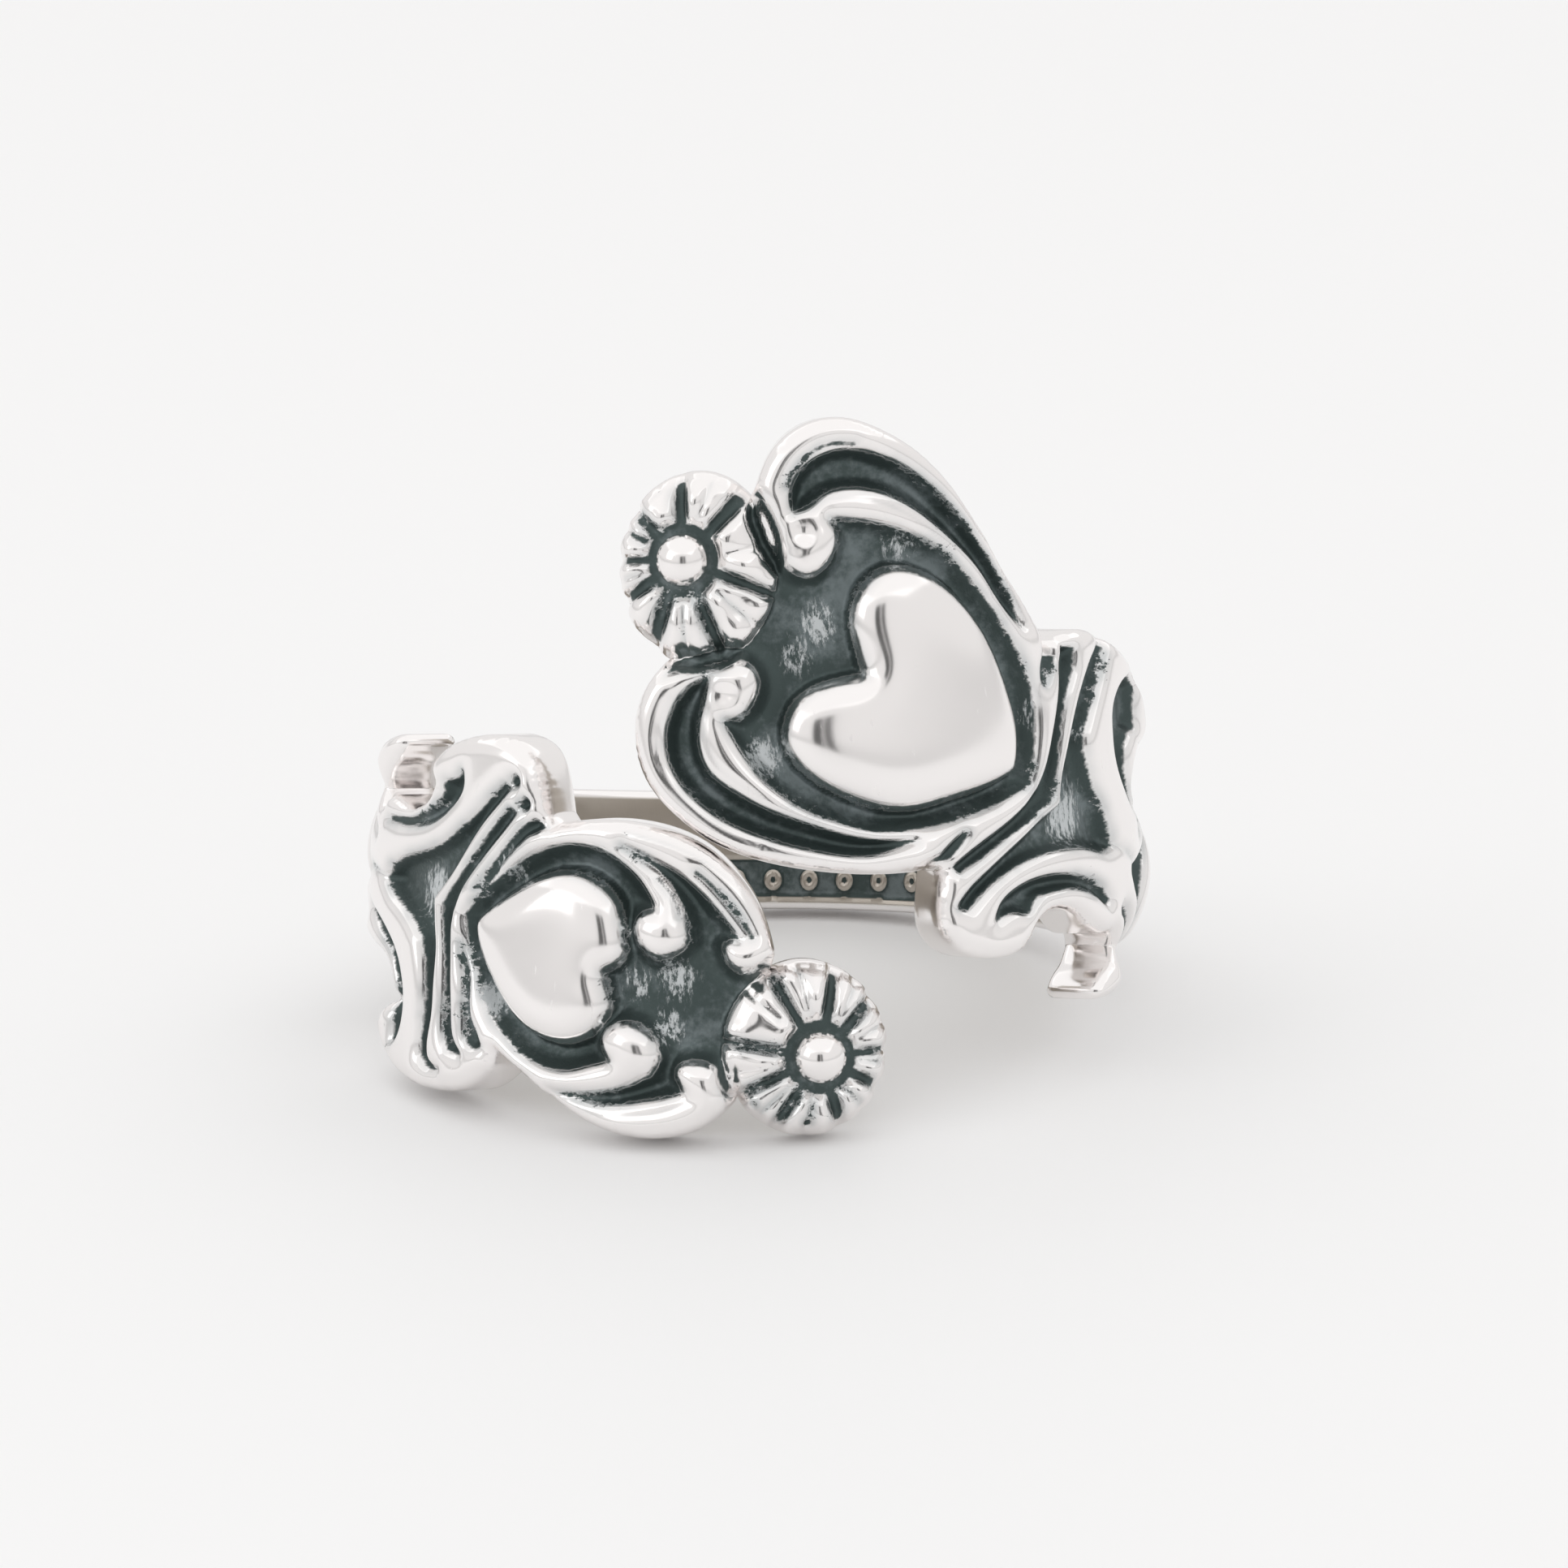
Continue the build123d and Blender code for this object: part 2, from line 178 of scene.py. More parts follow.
# Edges of the casting, on one side of the middle: rows are shares along and out
broad_scroll_edge = [
    (0.077, 0.45), (0.069, 0.63), (0.106, 0.8), (0.183, 0.926), (0.298, 0.988), (0.404, 1.0),
    (0.644, 0.9), (0.885, 0.706), (1.0, 0.6),
]
narrow_scroll_edge = [
    (0.214, 0.506), (0.286, 0.735), (0.396, 0.904), (0.538, 0.995), (0.692, 0.988), (0.868, 0.896),
    (1.0, 0.795),
]
broad_away_lobe = [
    (1.0, 0.72), (0.92, 0.87), (0.81, 0.965), (0.69, 1.01), (0.54, 1.03), (0.38, 1.02), (0.24, 0.95),
    (0.15, 0.84), (0.15, 0.74), (0.2, 0.66),
]
broad_away_bay = [(0.2, 0.66), (0.21, 0.58), (0.18, 0.5), (0.1, 0.45), (0.0, 0.425)]
narrow_away_lobe = [
    (1.0, 0.72), (0.92, 0.87), (0.81, 0.965), (0.69, 1.01), (0.54, 1.0), (0.4, 0.93), (0.31, 0.81),
    (0.33, 0.7), (0.38, 0.66),
]
broad_next_lobe = [
    (0.96, 0.66), (0.87, 0.835), (0.78, 0.935), (0.66, 0.98), (0.54, 0.96), (0.43, 0.88), (0.375, 0.78),
    (0.38, 0.66),
]
bay_edge = [(0.38, 0.66), (0.375, 0.57), (0.315, 0.48), (0.187, 0.435), (0.0, 0.425)]
narrow_next_lobe = [
    (0.96, 0.66), (0.87, 0.835), (0.78, 0.935), (0.66, 0.98), (0.52, 0.97), (0.4, 0.91), (0.3, 0.8),
    (0.28, 0.7), (0.32, 0.62),
]
narrow_next_bay = [(0.32, 0.62), (0.31, 0.55), (0.26, 0.48), (0.16, 0.435), (0.0, 0.425)]
lobe_edges = {
    (1, 1): (broad_away_lobe, broad_away_bay),
    (1, -1): (broad_next_lobe, bay_edge),
    (-1, 1): (narrow_away_lobe, bay_edge),
    (-1, -1): (narrow_next_lobe, narrow_next_bay),
}
far_bay_edge = [(0.16, 0.49), (0.28, 0.59)]
far_lobe_edge = [
    (0.28, 0.59), (0.26, 0.72), (0.2, 0.86), (0.23, 0.97), (0.33, 1.0), (0.47, 0.95), (0.58, 0.85),
    (0.7, 0.74), (0.9, 0.67), (1.25, 0.65), (1.65, 0.63),
]

# Pattern past the waists, as shares of the far lobes' length and half-width
far_kite = [
    [(0.597, 0.0), (0.632, 0.19), (0.6875, 0.42), (0.736, 0.69), (0.75, 0.865)],
    [
        (0.694, 0.865), (0.667, 0.67), (0.611, 0.44), (0.5, 0.31), (0.361, 0.2), (0.194, 0.096),
        (0.07, 0.0),
    ],
]
far_groove = [
    [(0.569, 0.79), (0.583, 0.6), (0.5, 0.46), (0.333, 0.337), (0.11, 0.26)],
    [(0.097, 0.3), (0.264, 0.375), (0.403, 0.48), (0.5, 0.615), (0.514, 0.76)],
]

# Pattern of the ends, in millimetres along from the bead and out from the middle. Each outline is
# made of runs, away from the other end first, then next to it
broad_heart = [
    [
        (5.72, 0.03), (5.3, 0.42), (4.86, 0.9), (4.6, 1.5), (4.58, 2.1), (4.78, 2.62),
        (5.2, 3.02), (5.8, 3.28), (6.5, 3.38), (7.3, 3.3), (8.1, 3.08), (9.0, 2.62),
        (10.0, 1.85), (10.8, 1.05), (11.42, 0.0),
    ],
    [
        (11.42, 0.0), (10.8, -0.85), (10.0, -1.62), (9.0, -2.45), (8.1, -2.9), (7.3, -3.1),
        (6.4, -3.2), (5.4, -3.1), (4.8, -2.8), (4.46, -2.2), (4.43, -1.6), (4.7, -0.95),
        (5.1, -0.5), (5.72, 0.03),
    ],
]
narrow_heart = [
    [
        (6.3, 0.12), (6.05, 0.55), (5.9, 1.0), (6.02, 1.5), (6.4, 2.0), (7.0, 2.36),
        (7.8, 2.48), (8.5, 2.35), (9.2, 1.95), (9.9, 1.35), (10.5, 0.7), (10.95, 0.0),
    ],
    [
        (10.95, 0.0), (10.6, -0.5), (10.0, -1.12), (9.3, -1.7), (8.6, -2.1), (7.9, -2.3),
        (7.1, -2.22), (6.5, -1.9), (6.1, -1.3), (5.88, -0.6), (6.0, -0.2), (6.3, 0.12),
    ],
]

# Edges of the broad scrolls' curls, which lie over the flower, and what closes them behind
broad_curls = [
    [
        (1.2, 2.1), (1.9, 1.6), (2.6, 1.32), (3.2, 1.38), (3.55, 1.95), (3.56, 2.5),
        (3.35, 2.9), (3.0, 3.05),
    ],
    [
        (3.1, -3.0), (3.45, -2.75), (3.57, -2.2), (3.42, -1.58), (3.0, -1.33), (2.4, -1.55),
        (1.9, -2.0), (1.1, -2.75),
    ],
]
broad_curl_backs = [[(2.0, 3.8), (0.5, 3.6)], [(0.6, -3.6), (2.0, -4.0)]]

# Sunk grounds round the hearts: along the curls or balls, then along the leaf to the heart's point
broad_ground = [
    broad_curls[0],
    [
        (3.0, 3.05), (3.7, 3.4), (4.5, 3.72), (5.3, 3.93), (6.2, 4.0), (7.2, 3.88),
        (8.1, 3.62), (9.0, 3.25), (10.0, 2.7), (10.7, 2.1), (11.4, 1.15), (12.0, 0.0),
    ],
    [
        (12.0, 0.0), (11.4, -0.9), (10.8, -1.55), (10.0, -2.3), (9.0, -3.0), (8.1, -3.48),
        (7.2, -3.72), (6.3, -3.88), (5.4, -3.88), (4.6, -3.72), (3.8, -3.4), (3.1, -3.0),
    ],
    broad_curls[1],
]
narrow_ground = [
    [
        (2.2, 1.75), (2.5, 1.42), (2.9, 1.3), (3.35, 1.4), (3.7, 1.65), (3.75, 1.95), (3.55, 2.2),
        (3.4, 2.32),
    ],
    [(3.4, 2.32), (4.1, 2.75), (4.8, 3.12), (5.5, 3.4), (6.3, 3.58), (7.15, 3.66)],
    [(7.15, 3.66), (6.4, 3.48), (5.6, 3.2), (5.0, 2.85), (4.6, 2.5), (4.32, 2.25)],
    [
        (4.32, 2.25), (4.2, 1.75), (4.42, 1.32), (4.85, 1.08), (5.4, 1.06), (5.8, 1.3),
        (6.02, 1.7), (5.95, 2.05), (5.65, 2.28),
    ],
    [
        (5.65, 2.28), (6.1, 2.55), (6.8, 2.95), (7.5, 3.1), (8.2, 3.05), (8.9, 2.75),
        (9.6, 2.3), (10.2, 1.65), (10.8, 0.95), (11.42, 0.0),
    ],
    [
        (11.42, 0.0), (10.7, -1.2), (9.9, -1.95), (9.1, -2.52), (8.3, -2.85), (7.5, -2.95),
        (6.7, -2.82), (6.0, -2.48), (5.5, -2.02),
    ],
    [
        (5.5, -2.02), (5.85, -1.75), (5.92, -1.3), (5.6, -0.88), (5.0, -0.73), (4.5, -1.05),
        (4.28, -1.5), (4.42, -1.9),
    ],
    [(4.42, -1.9), (4.5, -2.05), (4.8, -2.4), (5.3, -2.82), (6.0, -3.1), (6.8, -3.28)],
    [(6.8, -3.28), (5.9, -3.2), (5.0, -3.05), (4.3, -2.78), (3.6, -2.4), (2.98, -2.05)],
    [
        (2.98, -2.05), (3.2, -2.0), (3.4, -1.8), (3.3, -1.45), (2.9, -1.22), (2.5, -1.3),
        (2.1, -1.6),
    ],
]

# The long grooves between the broad scrolls' outer ridges and their leaves
broad_grooves = [
    [
        [
            (2.02, 2.72), (1.72, 3.2), (1.72, 3.8), (1.98, 4.35), (2.5, 4.85), (3.3, 5.18),
            (4.3, 5.33), (5.3, 5.28), (6.3, 5.1), (7.3, 4.8), (8.3, 4.42), (9.42, 3.52),
        ],
        [
            (9.42, 3.52), (8.6, 3.78), (7.6, 4.18), (6.6, 4.42), (5.6, 4.55), (4.7, 4.58),
            (3.8, 4.42), (3.1, 4.1), (2.55, 3.6), (2.3, 3.1), (2.02, 2.72),
        ],
    ],
    [
        [
            (2.12, -2.25), (1.78, -2.9), (1.72, -3.6), (1.95, -4.3), (2.5, -4.85), (3.3, -5.15),
            (4.3, -5.24), (5.3, -5.12), (6.3, -4.88), (7.3, -4.56), (8.3, -4.1), (9.4, -3.1),
        ],
        [
            (9.4, -3.1), (8.3, -3.62), (7.2, -4.0), (6.2, -4.25), (5.2, -4.45), (4.2, -4.5),
            (3.4, -4.42), (2.85, -4.05), (2.5, -3.5), (2.3, -2.8), (2.12, -2.25),
        ],
    ],
]

# Wedges in the notches between scrolls and lobes, and the chevrons, kites and lobe grooves
broad_wedges = [
    [
        [
            (10.2, 3.72), (10.5, 3.66), (10.76, 3.45), (10.8, 3.0), (10.76, 2.55), (10.52, 2.8),
            (10.34, 3.25),
        ],
    ],
    [
        [
            (10.1, -3.52), (10.6, -3.48), (10.72, -3.1), (10.84, -2.6), (10.78, -2.2),
            (10.56, -2.55), (10.4, -3.1),
        ],
    ],
]
narrow_wedges = [
    [
        [
            (9.5, 3.28), (9.9, 3.38), (10.1, 3.2), (10.25, 2.8), (10.42, 2.4), (10.5, 2.0),
            (10.8, 1.45),
        ],
        [(11.2, 0.75), (10.85, 1.15), (10.5, 1.65), (10.3, 2.15), (10.1, 2.6), (9.75, 2.98)],
    ],
    [
        [(9.25, -3.08), (9.9, -3.1), (10.3, -2.65), (10.65, -2.05), (10.95, -1.4), (11.25, -0.8)],
        [(11.25, -0.8), (10.9, -1.1), (10.55, -1.65), (10.2, -2.25), (9.85, -2.7)],
    ],
]
broad_chevron = [
    [(12.28, 0.0), (12.15, 0.6), (11.9, 1.3), (11.62, 2.0), (11.32, 2.7), (11.02, 3.3), (10.85, 3.85)],
    [(11.2, 4.05), (11.45, 3.6), (11.58, 3.0), (11.85, 2.2), (12.25, 1.4), (12.6, 0.8), (12.95, 0.05)],
    [(12.95, 0.05), (12.6, -0.95), (12.2, -1.65), (11.9, -2.3), (11.6, -2.85), (11.35, -3.25)],
    [(11.02, -3.2), (11.2, -2.8), (11.5, -2.2), (11.92, -1.35), (12.18, -0.6), (12.28, 0.0)],
]
narrow_chevron = [
    [(11.85, 0.0), (11.7, 0.55), (11.4, 1.25), (11.1, 2.0), (10.78, 2.8), (10.5, 3.4), (10.08, 3.75)],
    [(10.6, 3.78), (10.95, 3.25), (11.22, 2.4), (11.6, 1.45), (11.95, 0.8), (12.4, -0.05)],
    [(12.4, -0.05), (12.2, -0.6), (11.9, -1.3), (11.52, -2.2), (11.2, -2.85), (10.9, -3.25)],
    [(10.58, -3.2), (10.75, -2.85), (11.1, -2.2), (11.5, -1.4), (11.78, -0.65), (11.85, 0.0)],
]
broad_kite = [
    [(13.3, 0.0), (12.9, 0.72), (12.52, 1.6), (12.2, 2.5), (12.0, 3.4), (11.93, 4.3), (11.98, 5.0)],
    [
        (12.3, 5.0), (12.45, 4.4), (12.62, 3.5), (12.8, 2.6), (13.0, 2.05), (13.5, 1.62), (14.1, 1.25),
        (14.8, 1.0),
    ],
    [(14.8, 1.0), (15.5, 0.72), (16.3, 0.25)],
    [
        (16.3, 0.25), (16.0, -0.1), (15.3, -0.38), (14.5, -0.8), (13.9, -1.25), (13.4, -1.75),
        (12.95, -2.35),
    ],
    [(12.95, -2.35), (12.65, -2.95), (12.48, -3.5), (12.38, -4.0)],
    [
        (12.02, -4.1), (12.05, -3.5), (12.25, -2.8), (12.52, -2.0), (12.8, -1.2), (13.0, -0.6),
        (13.3, 0.0),
    ],
]
narrow_kite = [
    [
        (12.82, -0.15), (12.5, 0.5), (12.12, 1.2), (11.78, 2.2), (11.5, 3.2), (11.4, 3.9),
        (11.15, 4.35), (10.7, 4.42),
    ],
    [
        (11.1, 4.56), (11.55, 4.35), (11.75, 3.8), (11.92, 3.15), (12.15, 2.4), (12.5, 1.72),
        (12.95, 1.12),
    ],
    [(12.95, 1.12), (13.5, 0.82), (14.3, 0.58), (15.2, 0.38), (15.88, 0.05)],
    [
        (15.88, 0.05), (15.5, -0.45), (14.8, -0.85), (14.0, -1.18), (13.3, -1.58), (12.8, -2.08),
        (12.4, -2.5),
    ],
    [(12.4, -2.5), (12.05, -3.0), (11.75, -3.45), (11.45, -3.85)],
    [(11.2, -3.8), (11.35, -3.5), (11.75, -2.8), (12.1, -1.9), (12.4, -1.0), (12.82, -0.15)],
]
broad_lobe_grooves = [
    [
        [
            (14.75, 5.0), (14.15, 4.98), (13.75, 4.65), (13.52, 4.05), (13.6, 3.5), (13.95, 3.05),
            (14.4, 2.62), (15.0, 2.25), (15.7, 2.0), (16.5, 1.82), (17.2, 1.8),
        ],
        [
            (17.2, 1.94), (16.4, 2.12), (15.75, 2.42), (15.3, 2.82), (15.1, 3.2), (15.2, 3.6),
            (15.45, 3.95), (15.2, 4.3), (14.95, 4.6), (14.75, 5.0),
        ],
    ],
    [
        [
            (13.45, -3.9), (13.3, -3.45), (13.38, -2.95), (13.75, -2.35), (14.3, -1.85),
            (15.0, -1.45), (15.7, -1.22), (16.5, -1.1), (17.1, -1.2),
        ],
        [
            (17.05, -1.42), (16.3, -1.42), (15.6, -1.6), (15.05, -1.9), (14.6, -2.28),
            (14.25, -2.78), (14.3, -3.1), (13.95, -3.32), (13.65, -3.55), (13.45, -3.9),
        ],
    ],
]
narrow_lobe_grooves = [
    [
        [
            (13.15, 4.45), (12.9, 4.2), (12.8, 3.7), (12.92, 3.1), (13.3, 2.5), (13.85, 2.0),
            (14.6, 1.62), (15.6, 1.32), (16.8, 1.1),
        ],
        [
            (16.8, 1.24), (15.8, 1.58), (15.0, 1.84), (14.3, 2.15), (13.82, 2.6), (13.62, 2.98),
            (13.82, 3.3), (13.6, 3.6), (13.38, 4.0), (13.15, 4.45),
        ],
    ],
    [
        [
            (13.3, -3.85), (13.1, -3.45), (13.2, -2.95), (13.5, -2.5), (13.95, -2.12),
            (14.6, -1.86), (15.4, -1.7), (16.3, -1.66),
        ],
        [
            (16.3, -1.76), (15.4, -1.94), (14.8, -2.1), (14.3, -2.4), (14.0, -2.72),
            (13.86, -3.1), (13.92, -3.3), (13.6, -3.5), (13.3, -3.85),
        ],
    ],
]


class Line(NamedTuple):
    """A thin groove along a few points, with its half-width, depth as a share, and darkness."""

    points: list
    half: float
    depth: float
    dark: float


broad_lines = [
    Line([(1.55, 3.2), (1.62, 4.1), (2.0, 4.72), (2.6, 5.1)], 0.05, 0.32, 0.9),
    Line([(2.6, 5.1), (3.4, 5.44), (4.4, 5.55), (5.6, 5.42), (7.0, 5.1)], 0.02, 0.14, 0.2),
    Line(
        [(2.2, 2.9), (2.6, 3.4), (3.3, 3.9), (4.2, 4.2), (5.4, 4.28), (6.8, 4.08), (8.2, 3.72)],
        0.02, 0.2, 0.3,
    ),
    Line(
        [(1.5, -3.2), (1.65, -4.2), (2.2, -5.0), (3.0, -5.38), (4.2, -5.5), (5.6, -5.36)],
        0.025, 0.2, 0.3,
    ),
    Line([(5.6, -5.36), (7.0, -4.98), (8.6, -4.4), (9.6, -3.85)], 0.02, 0.16, 0.3),
    Line(
        [(2.55, -2.9), (2.75, -3.5), (3.4, -4.05), (4.5, -4.22), (6.0, -4.06), (7.6, -3.66)],
        0.02, 0.2, 0.3,
    ),
    Line([(2.02, 2.62), (1.8, 2.3), (2.1, 1.95), (2.6, 1.85)], 0.015, 0.12, 0.2),
    Line([(16.2, 0.2), (16.8, 0.36), (17.5, 0.5)], 0.03, 0.35, 0.7),
]
narrow_lines = [
    Line([(3.1, 2.45), (3.7, 2.95), (4.5, 3.38), (5.5, 3.72), (6.8, 3.86)], 0.03, 0.2, 0.2),
    Line([(4.55, 2.25), (5.1, 2.75), (5.9, 3.15), (7.0, 3.4), (8.2, 3.42)], 0.02, 0.16, 0.2),
    Line([(2.7, -2.25), (3.2, -2.65), (3.8, -3.0), (4.6, -3.32)], 0.07, 0.4, 0.9),
    Line([(2.4, -2.6), (3.1, -3.2), (4.1, -3.6), (5.4, -3.76), (6.8, -3.66)], 0.02, 0.16, 0.3),
    Line([(4.7, -2.05), (5.1, -2.5), (5.6, -2.8)], 0.05, 0.3, 0.8),
    Line([(5.6, -2.8), (6.6, -3.1), (7.8, -3.2), (8.8, -2.95)], 0.02, 0.14, 0.2),
    Line([(15.8, 0.0), (16.3, -0.1), (16.9, -0.14)], 0.03, 0.35, 0.7),
]


class Round(NamedTuple):
    """Something round: its place along and out in millimetres, its radius and how strong it is."""

    along: float
    out: float
    radius: float
    strength: float


narrow_pits = [
    Round(10.35, -3.48, 0.16, 0.8),
    Round(11.05, -4.0, 0.14, 0.8),
    Round(9.75, -3.06, 0.1, 0.6),
]
narrow_flower_pits = [
    Round(-0.15, 1.75, 0.09, 0.2),
    Round(1.42, 1.92, 0.09, 0.2),
    Round(-0.45, -2.3, 0.08, 0.2),
]
broad_eyes = [Round(2.5, 2.36, 0.5, 0.16), Round(2.74, -2.4, 0.5, 0.16)]
broad_swellings = [Round(2.9, 2.1, 0.9, 0.12), Round(2.9, -2.1, 0.9, 0.12)]
narrow_swellings = [
    Round(2.95, 1.85, 0.65, 0.16),
    Round(5.1, 1.65, 0.75, 0.22),
    Round(2.75, -1.7, 0.6, 0.16),
    Round(5.12, -1.4, 0.75, 0.2),
]
# Where the top is bevelled down to a thin edge
broad_bevels = [Round(11.2, -4.1, 1.2, 0.7)]
narrow_bevels = [Round(9.9, -3.8, 1.3, 1.1)]
broad_worn = [
    Round(4.15, 0.55, 0.55, 0.9),
    Round(4.05, -0.45, 0.6, 0.6),
    Round(4.5, -3.35, 0.55, 1.0),
    Round(5.2, 3.6, 0.6, 0.6),
    Round(11.0, 1.8, 0.45, 0.7),
    Round(14.1, 0.1, 0.85, 1.0),
    Round(12.9, 2.3, 0.3, 0.6),
]
narrow_worn = [
    Round(4.3, 0.9, 0.5, 0.8),
    Round(4.5, -0.4, 0.6, 0.8),
    Round(5.6, 0.1, 0.5, 0.7),
    Round(9.8, 2.05, 0.5, 1.3),
    Round(10.3, -1.75, 0.45, 0.9),
    Round(13.4, -0.1, 0.7, 1.1),
]


class Slit(NamedTuple):
    """A cut between petals: its angle, where it starts, its half-widths there and at the rim, depth."""

    angle: float
    start: float
    inner: float
    outer: float
    depth: float


broad_slits = [
    Slit(122, 0.6, 0.16, 0.13, 1.0),
    Slit(75, 0.6, 0.1, 0.2, 1.0),
    Slit(9, 0.6, 0.15, 0.09, 1.0),
    Slit(-38, 0.6, 0.12, 0.12, 1.0),
    Slit(-84, 0.6, 0.12, 0.17, 1.0),
    Slit(-118, 0.6, 0.2, 0.08, 1.0),
    Slit(-150, 0.6, 0.12, 0.06, 1.0),
    Slit(167, 0.6, 0.16, 0.12, 1.0),
    Slit(98, 1.2, 0.05, 0.02, 0.45),
    Slit(38, 1.3, 0.06, 0.02, 0.4),
    Slit(-12, 1.3, 0.05, 0.02, 0.45),
    Slit(-60, 1.2, 0.05, 0.02, 0.45),
    Slit(-134, 1.2, 0.06, 0.02, 0.5),
    Slit(-176, 1.1, 0.1, 0.03, 0.7),
]
narrow_slits = [
    Slit(125, 0.6, 0.18, 0.11, 1.0),
    Slit(72, 0.6, 0.12, 0.1, 1.0),
    Slit(40, 0.6, 0.12, 0.08, 1.0),
    Slit(7, 0.6, 0.1, 0.07, 1.0),
    Slit(-42, 0.6, 0.11, 0.1, 1.0),
    Slit(-85, 0.6, 0.14, 0.12, 1.0),
    Slit(-118, 0.6, 0.17, 0.11, 1.0),
    Slit(-158, 0.6, 0.12, 0.06, 1.0),
    Slit(171, 0.6, 0.16, 0.09, 1.0),
    Slit(96, 1.1, 0.07, 0.02, 0.6),
    Slit(58, 1.2, 0.05, 0.03, 0.5),
    Slit(26, 1.4, 0.03, 0.03, 0.35),
    Slit(-25, 1.5, 0.04, 0.02, 0.4),
    Slit(-60, 1.1, 0.05, 0.04, 0.55),
    Slit(-102, 1.2, 0.05, 0.02, 0.45),
    Slit(-138, 1.2, 0.05, 0.02, 0.45),
    Slit(-168, 1.1, 0.07, 0.02, 0.55),
    Slit(148, 1.1, 0.07, 0.02, 0.55),
]

# Cross-sections: distance out from an outline, negative inside it, and share of the full height
groove_profile = [
    (-0.3, 0.0), (-0.16, 0.12), (-0.04, 0.48), (0.04, 0.72), (0.14, 0.88), (0.3, 0.96), (0.55, 1.0),
]
line_profile = [(-0.22, 0.0), (-0.1, 0.25), (0.0, 0.6), (0.08, 0.82), (0.2, 0.94), (0.38, 1.0)]
ground_profile = [
    (-0.6, 0.0), (-0.3, 0.1), (-0.08, 0.4), (0.0, 0.6), (0.12, 0.82), (0.3, 0.95), (0.6, 1.0),
]
crease_profile = [(0.0, 0.3), (0.1, 0.68), (0.26, 0.9), (0.5, 1.0)]
slit_profile = [(-0.08, 0.0), (0.0, 0.2), (0.07, 0.62), (0.18, 0.86), (0.4, 1.0)]
moat_profile = [(0.8, 0.0), (0.98, 0.08), (1.08, 0.55), (1.24, 0.86), (1.6, 1.0)]
rim_profile = [(0.0, 0.25), (0.1, 0.66), (0.26, 0.9), (0.5, 1.0)]
stain_profile = [
    (-0.8, 1.0), (-0.35, 0.88), (-0.12, 0.72), (0.0, 0.5), (0.06, 0.25), (0.16, 0.14), (0.4, 0.0),
]


def smooth_line(points, spacing=0.10):
    """Close points on a natural cubic curve through a few points."""
    points = np.array(points)
    if len(points) < 3:
        return points
    gaps = np.hypot(*np.diff(points, axis=0).T)
    knots = np.concatenate([[0], np.cumsum(gaps)])
    bends = np.eye(len(points))
    pulls = np.zeros_like(points)
    for i in range(1, len(points) - 1):
        bends[i, i - 1 : i + 2] = gaps[i - 1], 2 * (gaps[i - 1] + gaps[i]), gaps[i]
        before = (points[i] - points[i - 1]) / gaps[i - 1]
        pulls[i] = 6 * ((points[i + 1] - points[i]) / gaps[i] - before)
    second = np.linalg.solve(bends, pulls)
    fine = np.linspace(0, knots[-1], int(knots[-1] / spacing) + 2)
    left = np.clip(np.searchsorted(knots, fine, side="right") - 1, 0, len(gaps) - 1)
    gap = gaps[left][:, None]
    ahead = (fine - knots[left])[:, None] / gap
    behind = 1 - ahead
    curve = behind * points[left] + ahead * points[left + 1]
    sag = (behind**3 - behind) * second[left] + (ahead**3 - ahead) * second[left + 1]
    return curve + sag * gap**2 / 6


def run_of(spot, end, rows, side=1):
    """A smooth run through rows of an outline, on one side of an end's middle line."""
    return smooth_line([spot(end, along, side * out) for along, out in rows])


def outline_of(end, runs):
    """A closed outline of the pattern from its runs in millimetres."""
    return np.concatenate([run_of(end_spot, end, rows) for rows in runs])


def edge_runs(end, side):
    """One side of an end's edge, from its tip to the shank."""
    scroll_edge = broad_scroll_edge if end is broad else narrow_scroll_edge
    lobe_edge, near_bay = lobe_edges[end.side, side]
    bay = [lobe_spot(end, along, side * out) for along, out in near_bay]
    bay += [far_lobe_spot(end, along, side * out) for along, out in far_bay_edge]
    return [
        run_of(scroll_spot, end, scroll_edge, side),
        run_of(lobe_spot, end, lobe_edge, side),
        smooth_line(bay),
        run_of(far_lobe_spot, end, far_lobe_edge, side),
    ]


# The shank's edges, narrowest behind the finger, from the far lobes of one end to those of the other
last_along, last_out = far_lobe_edge[-1]
shank_first = far_lobe_spot(broad, last_along, -last_out)[0]
shank_last = far_lobe_spot(narrow, last_along, -last_out)[0]
shank_middle = (shank_first + shank_last) / 2
shank_reach = (shank_last - shank_first) / 2
shank_span = 0.8
shank_points = 9
shank_edge = []
for share in np.linspace(-shank_span, shank_span, shank_points):
    half = shank_half + (shank_flare - shank_half) * share**2
    shank_edge.append((shank_middle + share * shank_reach, half))
over_shank = [smooth_line(shank_edge)]
under_shank = [smooth_line([(arc, -half) for arc, half in shank_edge])]


def backwards(runs):
    return [run[::-1] for run in reversed(runs)]


edge_loop = np.concatenate(
    edge_runs(broad, 1)
    + over_shank
    + backwards(edge_runs(narrow, -1))
    + edge_runs(narrow, 1)
    + backwards(under_shank)
    + backwards(edge_runs(broad, -1))
)

# How far from outlines and middles things are worked out, the last as a multiple of a spot's radius
pattern_reach = 1.0
edge_reach = 5.0
flower_reach = 4
spot_reach = 3

